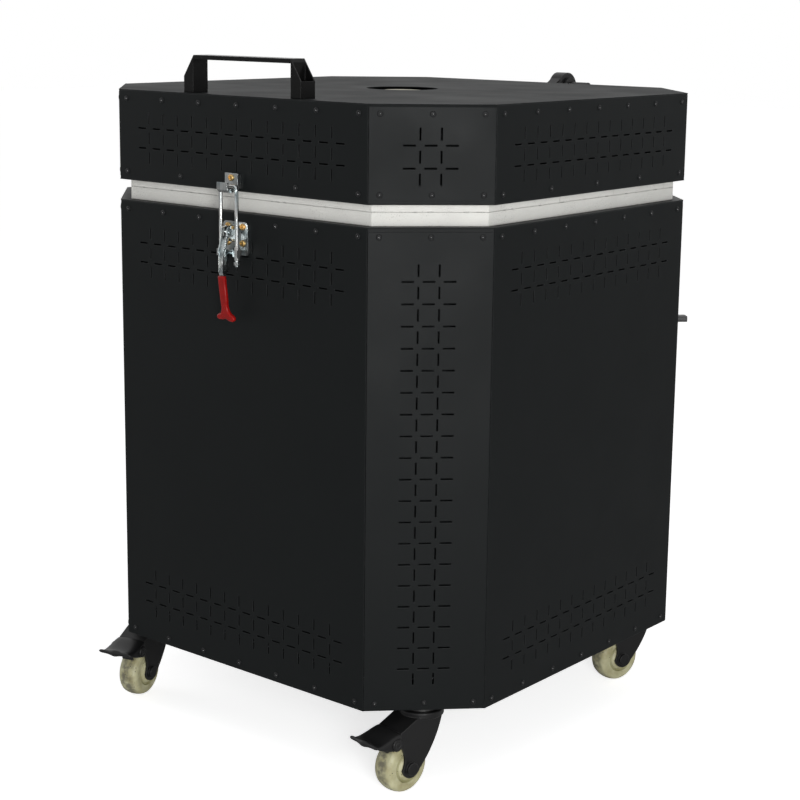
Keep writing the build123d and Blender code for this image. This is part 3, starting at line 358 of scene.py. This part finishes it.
def cast_ceramic(name, color):
    """Unglazed ceramic with cloudy tone and dark specks."""
    material, tree, shader = start_material(name, color, 0.8, specular=0.2)
    normal = rounded_normal(tree, 1.0 * MM)
    clouds = spread_range(tree, noise(tree, 35.0, 5.0), 0.35, 0.7)
    tone = blend_colors(tree, clouds, color, shade(color, 0.78))
    specks = spread_range(tree, cells(tree, 260.0), 0.05, 0.12)
    link(tree, blend_colors(tree, specks, shade(color, 0.5), tone), shader.inputs["Base Color"])
    add_bump(tree, shader, noise(tree, 300.0, 4.0), 0.25 * MM, 0.6, normal)
    return material


def worn_nylon(name, color, centre, axis, radius):
    """Cream nylon: grey dirt and dark specks on the tread, greenish shade in the hub groove."""
    material, tree, shader = start_material(name, color, 0.45, specular=0.35)
    shader.inputs["Subsurface Weight"].default_value = 0.15
    shader.inputs["Subsurface Radius"].default_value = (0.004, 0.004, 0.002)
    coords = tree.nodes.new("ShaderNodeTexCoord")
    offset = tree.nodes.new("ShaderNodeVectorMath")
    offset.operation = "SUBTRACT"
    offset.inputs[1].default_value = centre
    link(tree, coords.outputs["Object"], offset.inputs[0])
    along = tree.nodes.new("ShaderNodeVectorMath")
    along.operation = "CROSS_PRODUCT"
    along.inputs[1].default_value = axis
    link(tree, offset.outputs[0], along.inputs[0])
    distance = tree.nodes.new("ShaderNodeVectorMath")
    distance.operation = "LENGTH"
    link(tree, along.outputs[0], distance.inputs[0])
    reach = distance.outputs["Value"]
    tread = spread_range(tree, reach, radius - 2.4 * MM, radius - 0.4 * MM)
    grime = spread_range(tree, noise(tree, 120.0, 6.0), 0.36, 0.6)
    grime = combine(tree, "MULTIPLY", tread, grime)
    clouds = spread_range(tree, noise(tree, 55.0, 5.0, shift=(1, 4, 2)), 0.38, 0.72)
    tone = blend_colors(tree, clouds, color, tuple(c * f for c, f in zip(color, (0.62, 0.58, 0.48))))
    tone = blend_colors(tree, combine(tree, "MULTIPLY", grime, 0.75), tone, (0.075, 0.07, 0.06))
    specks = spread_range(tree, cells(tree, 190.0), 0.1, 0.2)
    some = spread_range(tree, noise(tree, 70.0, 3.0, shift=(9, 2, 5)), 0.5, 0.58)
    specks = combine(tree, "MAXIMUM", specks, combine(tree, "SUBTRACT", 1.0, some))
    tone = blend_colors(tree, specks, (0.05, 0.045, 0.03), tone)
    groove = spread_range(tree, reach, 0.0175, 0.0195)
    inner = combine(tree, "MULTIPLY", groove, spread_range(tree, reach, 0.0225, 0.0205))
    tone = blend_colors(tree, combine(tree, "MULTIPLY", inner, 0.6), tone, (0.2, 0.2, 0.08))
    link(tree, tone, shader.inputs["Base Color"])
    add_bump(tree, shader, noise(tree, 220.0, 5.0), 0.35 * MM, 0.5)
    return material


def even_glow(name, color, strength):
    """Lit figures behind a window, with a faint mottle."""
    material, tree, shader = start_material(name, shade(color, 0.1), 0.6)
    glow = spread_range(tree, noise(tree, 900.0, 2.0), 0.3, 0.7, 0.8 * strength, strength)
    shader.inputs["Emission Color"].default_value = (*color, 1)
    link(tree, glow, shader.inputs["Emission Strength"])
    return material


BLACK = (0.0054, 0.0064, 0.0066)
BRICK = (0.72, 0.715, 0.68)
NYLON = (0.50, 0.485, 0.31)
# Near-black painted shade for the lid bricks inside the lid's casing
LID_SHADE_COLOR = (0.012, 0.012, 0.012)
# Paler edge colours: partly real wear, partly a painted highlight along the edges
SHEET_EDGE_WEAR_AND_HIGHLIGHT = (0.075, 0.078, 0.08)
SMALL_EDGE_WEAR_AND_HIGHLIGHT = (0.05, 0.05, 0.05)
FITTING_EDGE_WEAR_AND_HIGHLIGHT = (0.09, 0.09, 0.09)
RIVET_BLACK = (0.008, 0.0085, 0.009)
FITTING_BLACK = (0.006, 0.006, 0.0062)
HANDLE_BLACK = (0.0022, 0.0022, 0.0022)
materials = {
    "black_sheet": powder_coat("powder_black", BLACK, SHEET_EDGE_WEAR_AND_HIGHLIGHT, 0.47),
    "lid_sheet": powder_coat("lid_sheet", BLACK, SHEET_EDGE_WEAR_AND_HIGHLIGHT, 0.58, specular=0.07),
    "black_rivet": powder_coat("rivet_black", RIVET_BLACK, SMALL_EDGE_WEAR_AND_HIGHLIGHT, 0.42, 900.0, specular=0.16),
    "black_fitting": powder_coat("fitting_black", FITTING_BLACK, FITTING_EDGE_WEAR_AND_HIGHLIGHT, 0.38, 500.0, 0.6, 0.25),
    "rivet_stub": plated("rivet_stub", (0.4, 0.4, 0.4), (0.25, 0.25, 0.25), 0.3),
    "handle_black": powder_coat("handle_black", HANDLE_BLACK, SMALL_EDGE_WEAR_AND_HIGHLIGHT, 0.3, 900.0, 0.3, 0.12),
    "firebrick": firebrick("soft_firebrick", BRICK),
    "vent_ceramic": cast_ceramic("vent_ceramic", (0.72, 0.69, 0.56)),
    "galvanised": plated("galvanised", (0.5, 0.51, 0.52), (0.36, 0.38, 0.4), 0.42),
    # Painted shade: the inner jacket is near black, darker than its galvanised steel, so the slots in front of it
    # read as dark shade.
    "jacket_painted_shade": plated("jacket_painted_shade", (0.035, 0.036, 0.037), (0.02, 0.02, 0.021), 0.6),
    "dark_race": plated("dark_race", (0.09, 0.09, 0.088), (0.05, 0.05, 0.05), 0.4),
    "element_wire": plated("oxidised_wire", (0.12, 0.1, 0.085), (0.2, 0.16, 0.12), 0.6, 0.8),
    "probe_ceramic": cast_ceramic("probe_ceramic", (0.7, 0.68, 0.62)),
    "dark_plastic": plastic("dark_plastic", (0.012, 0.012, 0.013), 0.45),
    "dark_window": plastic("dark_window", (0.004, 0.004, 0.005), 0.12),
    "lit_red": even_glow("lit_red", (1.0, 0.04, 0.02), 1.6),
    "lit_green": even_glow("lit_green", (0.08, 1.0, 0.12), 1.0),
    "white_print": plastic("white_print", (0.62, 0.62, 0.6), 0.6),
    "pale_plastic": plastic("pale_plastic", (0.6, 0.58, 0.5), 0.5),
    "key_rubber": plastic("key_rubber", (0.22, 0.23, 0.25), 0.6),
    "plated_steel": plated("zinc_plate", (0.46, 0.46, 0.45), (0.28, 0.32, 0.33), 0.24),
    "bright_zinc": plated("bright_zinc", (0.42, 0.43, 0.42), (0.26, 0.3, 0.31), 0.2),
    "brass_screw": plated("yellow_passivate", (0.62, 0.36, 0.12), (0.35, 0.3, 0.14), 0.3),
    "red_grip": dipped_vinyl("red_dip", (0.27, 0.004, 0.003)),
}
slot_of = {entry["node"]: entry["material_slot"] for entry in frame["record"]["subparts"]}
joint_of = {joint["child"]: joint for joint in frame["joints"]}


def paint(piece, material):
    piece.data.materials.clear()
    piece.data.materials.append(material)


def paint_nodes():
    # The lid bricks get painted shade above the lid frame's bottom, for the shade inside the lid's casing.
    shaded_lid_brick = firebrick("firebrick_painted_shade", BRICK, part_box("lid_frame")[0].z + 2 * MM)
    # The inner jacket gets the near-black painted shade.
    special = {"inner_jacket": materials["jacket_painted_shade"], "caster_stems": materials["dark_race"],
               "lid_bricks": shaded_lid_brick, "lid_handle": materials["handle_black"],
               "lid_top": materials["lid_sheet"]}
    for name, node in nodes.items():
        if slot_of[name] == "nylon_wheel":
            joint = joint_of[name]
            low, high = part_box(name)
            material = worn_nylon(name, NYLON, (low + high) / 2, joint["axis"], (high.z - low.z) / 2)
        else:
            material = special.get(name, materials[slot_of[name]])
        paint(node, material)


def dress(piece, body, material):
    paint(piece, material)
    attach(piece, body)
    return piece


def shape_piece(name, shape, body, material, smooth=False):
    mesh = bpy.data.meshes.new(name)
    mesh.from_pydata([tuple(point) for point in shape.points], [], shape.faces)
    mesh.update()
    if smooth:
        mesh.shade_smooth()
    return dress(add_object(name, mesh), body, material)


def add_bevel(piece, width, segments, angle):
    bevel = piece.modifiers.new("edges", "BEVEL")
    bevel.width = width
    bevel.segments = segments
    bevel.limit_method = "ANGLE"
    bevel.angle_limit = math.radians(angle)


class Shape:
    """Points and faces of one piece, gathered from several closed forms."""

    def __init__(self):
        self.points = []
        self.faces = []

    def add(self, points, faces):
        start = len(self.points)
        self.points += points
        self.faces += [tuple(start + index for index in face) for face in faces]

    def rings(self, rings, closed=False):
        """Join rings of equal point counts, with capped ends unless closed."""
        count = len(rings[0])
        faces = []
        for row in range(len(rings) if closed else len(rings) - 1):
            after = (row + 1) % len(rings)
            for step in range(count):
                ahead = (step + 1) % count
                faces.append((row * count + step, row * count + ahead,
                              after * count + ahead, after * count + step))
        if not closed:
            faces.append(tuple(reversed(range(count))))
            faces.append(tuple((len(rings) - 1) * count + step for step in range(count)))
        self.add([point for ring in rings for point in ring], faces)

    def lathe(self, centre, axis, profile, sides=16):
        """Turn a profile of (radius, height) round an axis; both ends close on it."""
        axis = axis.normalized()
        side = axis.orthogonal().normalized()
        other = axis.cross(side)
        turns = [2 * math.pi * step / sides for step in range(sides)]
        self.rings([[centre + axis * height + (side * math.cos(turn) + other * math.sin(turn)) * radius
                     for turn in turns] for radius, height in profile])

    def prism(self, outline, offset):
        """Close a flat outline of points with its copy at an offset."""
        self.rings([outline, [point + offset for point in outline]])


def solid_centres(name):
    """Middle of each separate solid in a CAD node."""
    mesh = bmesh.new()
    mesh.from_mesh(nodes[name].data)
    bmesh.ops.remove_doubles(mesh, verts=mesh.verts, dist=0.01 * MM)
    left = set(mesh.verts)
    centres = []
    while left:
        front = [left.pop()]
        group = []
        while front:
            vertex = front.pop()
            group.append(vertex.co.copy())
            for edge in vertex.link_edges:
                other = edge.other_vert(vertex)
                if other in left:
                    left.remove(other)
                    front.append(other)
        low = Vector([min(point[axis] for point in group) for axis in range(3)])
        high = Vector([max(point[axis] for point in group) for axis in range(3)])
        centres.append((low + high) / 2)
    mesh.free()
    return sorted(centres, key=lambda point: tuple(point))


def outward(place):
    """Normal of the casing face nearest to a place, and the distance of that face."""
    best = None
    for step in range(8):
        turn = math.radians(45 * step)
        normal = Vector((math.cos(turn), math.sin(turn), 0))
        reach = HALF if step % 2 == 0 else CORNER_REACH
        gap = abs(place.dot(normal) - reach)
        if best is None or gap < best[0]:
            best = (gap, normal, reach)
    return best[1], best[2]


def blind_rivets(node, body):
    """Domed rivet heads, each with the hollow and broken stem of its mandrel."""
    head = [(3.95, 0.0), (4.0, 0.3), (3.75, 0.75), (3.1, 1.15), (2.2, 1.38), (1.6, 1.4), (1.4, 1.2),
            (1.35, 0.3), (0.3, 0.2)]
    stub = [(0.75, 0.1), (0.75, 0.9), (0.6, 1.15), (0.2, 1.3)]
    sunk = 0.05
    heads = Shape()
    stubs = Shape()
    for centre in solid_centres(node):
        normal, reach = outward(centre)
        seat = centre + normal * (reach - centre.dot(normal))
        heads.lathe(seat, normal, in_mm([(radius, height - sunk) for radius, height in head]), 14)
        stubs.lathe(seat, normal, in_mm(stub), 8)
    for kind, shape, paint_name in (("heads", heads, "black_rivet"), ("stubs", stubs, "rivet_stub")):
        piece = shape_piece(f"{node}_{kind}", shape, body, materials[paint_name], smooth=True)
        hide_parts(node)


def octagon_point(half, cut, share):
    """Point and outward direction at a share of the way round a corner-cut square."""
    flat = half - cut
    corners = [(flat, -half), (half, -flat), (half, flat), (flat, half),
               (-flat, half), (-half, flat), (-half, -flat), (-flat, -half)]
    sides = [(Vector(corners[i]), Vector(corners[(i + 1) % 8])) for i in range(8)]
    lengths = [(end - start).length for start, end in sides]
    left = (share % 1.0) * sum(lengths)
    index = 0
    while left > lengths[index]:
        left -= lengths[index]
        index += 1
    start, end = sides[index]
    along = (end - start).normalized()
    place = start + along * left
    return Vector((place.x, place.y, 0)), Vector((along.y, -along.x, 0))


def heating_coils():
    """Coiled wire round the chamber, one run in each groove."""
    low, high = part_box("heating_elements")
    rows = 9
    size = 9 * MM
    step = (high.z - low.z - size) / (rows - 1)
    half = (high.x - low.x) / 2 - size / 2
    cut_share = 0.4247      # corner cut over half the width
    cut = half * cut_share
    coil = 3.7 * MM
    wire = 0.7 * MM
    turns = 190
    around = 9
    data = bpy.data.curves.new("heating_coils", "CURVE")
    data.dimensions = "3D"
    data.bevel_depth = wire
    data.bevel_resolution = 1
    total = turns * around
    for row in range(rows):
        height = low.z + size / 2 + row * step
        spline = data.splines.new("POLY")
        spline.points.add(total - 1)
        for index in range(total):
            place, out = octagon_point(half, cut, index / total)
            angle = 2 * math.pi * index / around
            spot = place + out * (coil * math.cos(angle)) + Vector((0, 0, height + coil * math.sin(angle)))
            spline.points[index].co = (*spot, 1)
        spline.use_cyclic_u = True
    piece = add_object("heating_coils", data)
    dress(piece, "cabinet", materials["element_wire"])
    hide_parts("heating_elements")


def front_spot(x, out, height):
    """Place given across the front face, out from it, and up from the latch's pivot."""
    return Vector((x, -HALF - out, LATCH_PIVOT_Z + height))


def threaded_bolt():
    """U-bolt: plain bent top, helical thread on both legs."""
    low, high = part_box("latch_bolt")
    radius = (high.y - low.y) / 2
    y = (low.y + high.y) / 2
    leg = (high.x - low.x) / 2 - radius
    top = high.z - radius
    bend = 6 * MM
    pitch = 0.9 * MM
    depth = 0.22 * MM
    thread_top = low.z + 62 * MM
    shank = radius - 0.05 * MM
    sides = 20
    steps_per_turn = 6
    arc_steps = 8
    rings = []

    def ring(centre, along, out, grow):
        across = along.cross(out)
        result = []
        for step in range(sides):
            angle = 2 * math.pi * step / sides
            result.append(centre + (out * math.cos(angle) + across * math.sin(angle)) * grow(angle))
        return result

    def leg_rings(side, heights, along):
        for z in heights:
            def grow(angle, z=z):
                if z > thread_top:
                    return shank
                phase = (z - low.z) / pitch - side * angle / (2 * math.pi)
                return radius - depth * abs(2 * (phase % 1.0) - 1)
            rings.append(ring(Vector((side * leg, y, z)), along, Vector((1, 0, 0)), grow))

    rows = int((thread_top - low.z) / pitch * steps_per_turn)
    threaded = [low.z + pitch / steps_per_turn * i for i in range(rows)]
    plain = [thread_top + 1 * MM, top - bend]
    leg_rings(-1, threaded + plain, Vector((0, 0, 1)))
    for side, start in ((-1, 180), (1, 90)):
        for step in range(1, arc_steps + 1):
            angle = math.radians(start - 90 * step / arc_steps)
            out = Vector((math.cos(angle), 0, math.sin(angle)))
            centre = Vector((side * (leg - bend), y, top - bend))
            along = Vector((math.sin(angle), 0, -math.cos(angle)))
            rings.append(ring(centre + out * bend, along, -out, lambda turn: shank))
    leg_rings(1, list(reversed(plain)) + list(reversed(threaded)), Vector((0, 0, -1)))
    shape = Shape()
    shape.rings(rings)
    piece = shape_piece("latch_u_bolt", shape, "latch_bolt", materials["plated_steel"],
                        smooth=True)
    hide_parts("latch_bolt")


def chamfered_nuts():
    """Hexagon nuts with turned chamfers, on the bolt's legs."""
    shape = Shape()
    across = 4.0 * MM
    for centre in solid_centres("latch_nuts"):
        rings = []
        for height, largest in ((-2.25, 4.0), (-1.8, 4.62), (1.8, 4.62), (2.25, 4.0)):
            ring = []
            for step in range(24):
                angle = math.radians(15 * step)
                off_flat = (angle + math.pi / 6) % (math.pi / 3) - math.pi / 6
                radius = min(across / math.cos(off_flat), largest * MM)
                across_x = math.cos(angle) * radius
                across_y = math.sin(angle) * radius
                ring.append(centre + Vector((across_x, across_y, height * MM)))
            rings.append(ring)
        shape.rings(rings)
    piece = shape_piece("latch_nut_set", shape, "latch_bolt", materials["plated_steel"])
    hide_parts("latch_nuts")


def lever_taper(height):
    """Share of the lever's full half width, less towards the strap."""
    return 1.0 - 0.36 * min(1.0, max(0.0, (-height - 12) / 30))


def pressed_lever():
    """Side walls with a trunnion lobe and a flared wing each, and the sunk web between them."""
    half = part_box("latch_lever")[1].x
    sheet = 1.5 * MM
    thick = 2
    sunk_depth = 0.9
    sunk_share = 0.4
    wall = [(10.5, 4), (12, 6.6), (14.4, 8.4), (18, 9), (21.4, 7.8), (24, 5), (25.2, 1), (26, -8),
            (28.3, -17), (30.5, -22), (31.8, -26), (31.2, -31), (31.6, -38), (32, -46), (32, -54),
            (28.5, -56), (24.5, -55.6), (20.5, -53.4), (17, -50.4), (19, -45), (19.8, -40), (20.2, -36),
            (17.5, -33.2), (13.5, -33), (10.8, -31.2), (10.4, -28.5), (11, -25.6), (13.4, -24.2),
            (22.4, -24.6), (24.8, -23), (24, -17), (22.4, -11), (18.4, -7.2), (13.4, -6.4), (10.8, -3.6)]
    shape = Shape()
    for side in (-1, 1):
        rings = []
        for inset in (0.0, sheet):
            rings.append([front_spot(side * (half * lever_taper(h) - inset), out * MM, h * MM)
                          for out, h in wall])
        if side > 0:
            rings.reverse()
        shape.rings(rings)
    web = [(24.4, -9.5), (25.6, -14), (27.4, -19), (29.2, -23.5), (30.2, -27), (29.6, -31), (30, -36),
           (31, -43), (31.3, -50), (31.2, -54), (30.6, -57), (30, -59.5)]
    rings = []
    for index, (out, height) in enumerate(web):
        before = web[max(index - 1, 0)]
        after = web[min(index + 1, len(web) - 1)]
        run = Vector((after[0] - before[0], after[1] - before[1])).normalized()
        normal = Vector((-run.y, run.x))
        wide = half * lever_taper(height) - 0.2 * MM
        sunk = front_spot(0, (out - sunk_depth * normal.x) * MM, (height - sunk_depth * normal.y) * MM)
        front = front_spot(0, out * MM, height * MM)
        back = front_spot(0, (out - thick * normal.x) * MM, (height - thick * normal.y) * MM)
        across = Vector((wide, 0, 0))
        rings.append([front - across, sunk - across * sunk_share, sunk + across * sunk_share,
                      front + across, back + across, back - across])
    shape.rings(rings)
    piece = shape_piece("latch_lever_pressing", shape, "latch_lever",
                        materials["bright_zinc"], smooth=True)
    add_bevel(piece, 0.35 * MM, 3, 40)
    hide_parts("latch_lever")


def dipped_grip():
    """Red dip over the strap: rounded bar with a fish-tail end."""
    low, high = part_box("latch_grip")
    strap_out = 29.0 * MM
    end_out = 20.5 * MM
    lean = math.atan2(strap_out - end_out, high.z - low.z)
    length = (high.z - low.z) / math.cos(lean)
    rounding = 2.4 * MM
    half = 6.1 * MM - rounding
    right = [(half, -0.5 * length), (half, -0.74 * length), (0.0085, -0.865 * length),
             (0.0135, -0.91 * length), (0.0142, -0.945 * length), (0.0105, -0.965 * length),
             (0.005, -0.945 * length)]
    left = [(-0.005, -0.935 * length), (-0.0095, -0.94 * length), (-0.0135, -0.925 * length),
            (-0.0125, -0.9 * length), (-0.0075, -0.865 * length), (-half, -0.76 * length),
            (-half, -0.5 * length)]
    outline = [(-half, -rounding), (half, -rounding)] + right + [(0, -0.915 * length)] + left
    data = bpy.data.curves.new("latch_grip_dip", "CURVE")
    data.dimensions = "2D"
    data.fill_mode = "BOTH"
    data.extrude = 3.2 * MM - rounding
    data.bevel_depth = rounding
    data.bevel_resolution = 5
    data.resolution_u = 8
    spline = data.splines.new("BEZIER")
    spline.bezier_points.add(len(outline) - 1)
    for index, (point, (x, y)) in enumerate(zip(spline.bezier_points, outline)):
        point.co = (x, y, 0)
        kind = "VECTOR" if index < 3 or index == len(outline) - 1 else "AUTO"
        point.handle_left_type = kind
        point.handle_right_type = kind
    spline.use_cyclic_u = True
    piece = add_object("latch_grip_dip", data)
    place = Vector((0, -HALF - strap_out, high.z))
    across = Vector((1, 0, 0))
    up = Vector((0, -math.sin(lean), math.cos(lean)))
    turn = Matrix((across, up, across.cross(up))).transposed().to_4x4()
    piece.matrix_world = Matrix.Translation(place) @ turn
    dress(piece, "latch_lever", materials["red_grip"])
    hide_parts("latch_grip")


class CasterFrame:
    """Places given along a caster's trail, across it and up from the floor."""

    def __init__(self, name):
        king = Vector(joint_of[f"fork_{name}"]["pos_m"])
        axle = Vector(joint_of[f"wheel_{name}"]["pos_m"])
        self.origin = Vector((king.x, king.y, 0))
        self.along = Vector((axle.x - king.x, axle.y - king.y, 0)).normalized()
        self.across = Vector((-self.along.y, self.along.x, 0))

    def spot(self, x, y, z):
        return self.origin + self.along * (x * MM) + self.across * (y * MM) + Vector((0, 0, z * MM))


def pressed_pedal(name):
    """Brake pedal: crowned plate that widens to a rolled lip, folded cheeks, boss and pin."""
    caster = CasterFrame(name)
    place = caster.spot
    pin = place(67, 0, 80)
    stations = [(58.6, 94.0, 80.0), (62.0, 93.6, 75.0), (67.0, 92.6, 71.8), (73.0, 90.8, 72.6),
                (79.0, 89.2, 74.4), (86.0, 87.6, 76.6), (92.0, 86.6, 78.8), (98.0, 86.6, 81.2),
                (102.6, 87.4, 83.4)]
    run = 44
    shape = Shape()
    thick = 1.8
    rings = []
    for x, top, low in stations:
        share = (x - stations[0][0]) / run
        half = 24.6 + 1.4 * share
        outer = [(-half, low), (-half, top - 4.0), (-half + 1.2, top - 1.6), (-half + 4.0, top - 0.4),
                 (-12, top + 0.5), (0, top + 0.8), (12, top + 0.5), (half - 4.0, top - 0.4),
                 (half - 1.2, top - 1.6), (half, top - 4.0), (half, low)]
        inner = []
        for y, z in reversed(outer):
            inner_y = y - math.copysign(thick, y) if abs(y) > half - 2 else y * 0.97
            inner.append((inner_y, z if z == low else z - thick))
        rings.append([place(x, y, z) for y, z in outer + inner])
    shape.rings(rings)
    lip = []
    for step in range(25):
        y = -28.0 + 56.0 * step / 24
        end = math.sqrt(max(0.04, 1 - (abs(y) / 28.2) ** 10))
        lip.append(((2.7 + 2.3 * math.exp(-(y / 8.0) ** 2)) * end * MM, y * MM))
    shape.lathe(place(104.2, 0, 86.0), caster.across, lip, 14)
    boss = [(8.4, 22.95), (8.5, 23.4), (8.5, 26.6), (7.8, 27.4), (5.0, 27.45), (4.6, 26.9), (3.6, 26.9),
            (3.4, 27.4), (2.0, 27.5)]
    for side in (-1, 1):
        shape.lathe(pin, caster.across * side, in_mm(boss), 24)
    shape.lathe(pin, caster.across, in_mm([(3, -23), (3, 23)]), 16)
    rings = []
    for y in (-9, 9):
        rings.append([place(x, y, z) for x, z in ((67.0, 64.5), (70.5, 64.5), (72, 78), (71, 82), (67, 82))])
    shape.rings(rings)
    piece = shape_piece(f"pressed_pedal_{name}", shape, f"pedal_{name}",
                        materials["black_fitting"], smooth=True)
    add_bevel(piece, 0.4 * MM, 2, 50)
    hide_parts(f"pedal_{name}")


def on_box(u, v, out):
    """Place on the control box: u to the right as one faces it, v up, out from the casing."""
    return Vector((-HALF - out * MM, -u * MM, v * MM))


def plate_on_box(shape, u, v, out, thick):
    """Flat bar with its corners given by ranges, standing out from the box."""
    corners = ((u[0], v[0]), (u[0], v[1]), (u[1], v[1]), (u[1], v[0]))
    shape.prism([on_box(a, b, out) for a, b in corners], Vector((-thick * MM, 0, 0)))


def digit_bars(shape, symbol, left, low, wide, high, out):
    """Seven-bar figure."""
    bars = {"0": "abcdef", "1": "bc", "2": "abged", "4": "fgbc"}
    thick = 1.5
    middle = low + high / 2
    spans = {"a": ((left + 1, left + wide - 1), (low + high - thick, low + high)),
             "d": ((left + 1, left + wide - 1), (low, low + thick)),
             "g": ((left + 1, left + wide - 1), (middle - thick / 2, middle + thick / 2)),
             "b": ((left + wide - thick, left + wide), (middle + 0.6, low + high - 0.6)),
             "c": ((left + wide - thick, left + wide), (low + 0.6, middle - 0.6)),
             "f": ((left, left + thick), (middle + 0.6, low + high - 0.6)),
             "e": ((left, left + thick), (low + 0.6, middle - 0.6))}
    for bar in bars[symbol]:
        plate_on_box(shape, *spans[bar], out, 0.15)


def controller_face():
    """Dark window with two rows of figures, and a printed mark on each key."""
    low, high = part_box("controller")
    middle = (low.z + high.z) / 2 / MM
    front = (-HALF - low.x) / MM
    glass = Shape()
    plate_on_box(glass, (-37.8, 37.8), (middle - 13.8, middle + 37.8), front - 2.0, 0.8)
    shape_piece("controller_window", glass, "cabinet", materials["dark_window"])
    rows = {"red": ("1220", 14.0, 18.0, 11.0), "green": ("1240", -8.0, 13.0, 8.0)}
    for color, (symbols, base, tall, wide) in rows.items():
        figures = Shape()
        pitch = wide * 1.45
        left = -pitch * len(symbols) / 2 + 0.2 * wide
        for index, symbol in enumerate(symbols):
            digit_bars(figures, symbol, left + index * pitch, middle + base, wide, tall, front - 1.15)
        shape_piece(f"controller_figures_{color}", figures, "cabinet",
                    materials[f"lit_{color}"])
    for name in ("key_up", "key_down", "key_run"):
        key_low, key_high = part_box(name)
        out = (-HALF - key_low.x) / MM
        u = -(key_low.y + key_high.y) / 2 / MM
        v = (key_low.z + key_high.z) / 2 / MM
        mark = Shape()
        if name == "key_run":
            corners = [(-2, -2.6), (-2, 2.6), (3, 0)]
        else:
            way = 1 if name == "key_up" else -1
            corners = [(-3, -2 * way), (0, 3 * way), (3, -2 * way)]
        mark.prism([on_box(u + a, v + b, out) for a, b in corners], Vector((-0.12 * MM, 0, 0)))
        shape_piece(f"{name}_mark", mark, name, materials["white_print"])


def switch_marks():
    """Pointer line on the knob, and an off ring and an on bar printed beside it."""
    low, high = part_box("power_switch")
    v = (low.z + high.z) / 2 / MM
    front = (-HALF - low.x) / MM
    pointer = Shape()
    plate_on_box(pointer, (-0.9, 0.9), (v + 5, v + 17), front, 0.12)
    shape_piece("switch_pointer", pointer, "power_switch", materials["white_print"])
    cover_out = (-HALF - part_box("control_cover")[0].x) / MM
    marks = Shape()
    plate_on_box(marks, (32, 34), (v - 5, v + 5), cover_out, 0.12)
    ring = [(4.6, 0.0), (4.6, 0.12), (3.2, 0.12), (3.2, 0.0)]
    centre = on_box(0, v + 32, cover_out)
    turns = [2 * math.pi * step / 28 for step in range(28)]
    marks.rings([[centre + Vector((-h * MM, math.cos(t) * r * MM, math.sin(t) * r * MM)) for t in turns]
                 for r, h in ring], closed=True)
    shape_piece("switch_marks", marks, "cabinet", materials["white_print"])


def cover_screws():
    """Pan-head screws round the control box's cover."""
    low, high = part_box("control_cover")
    out = (-HALF - low.x) / MM
    edge = 9
    heads = Shape()
    profile = [(3.6, 0.0), (3.6, 0.6), (3.1, 1.5), (2.0, 2.0), (0.9, 2.1), (0.8, 1.2), (0.2, 1.1)]
    for u in (-86, 86):
        for v in (low.z / MM + edge, (low.z + high.z) / 2 / MM, high.z / MM - edge):
            heads.lathe(on_box(u, v, out), Vector((-1, 0, 0)), in_mm(profile), 18)
    shape_piece("cover_screws", heads, "cabinet", materials["plated_steel"], smooth=True)


bpy.context.scene.view_settings.view_transform = "Standard"
make_camera()
make_world()
for lamp in LAMPS:
    make_light(*lamp)
make_floor()
paint_nodes()
blind_rivets("body_rivets", "cabinet")
blind_rivets("lid_rivets", "lid")
heating_coils()
threaded_bolt()
chamfered_nuts()
pressed_lever()
dipped_grip()
pressed_pedal("front_right")
pressed_pedal("front_left")
controller_face()
switch_marks()
cover_screws()
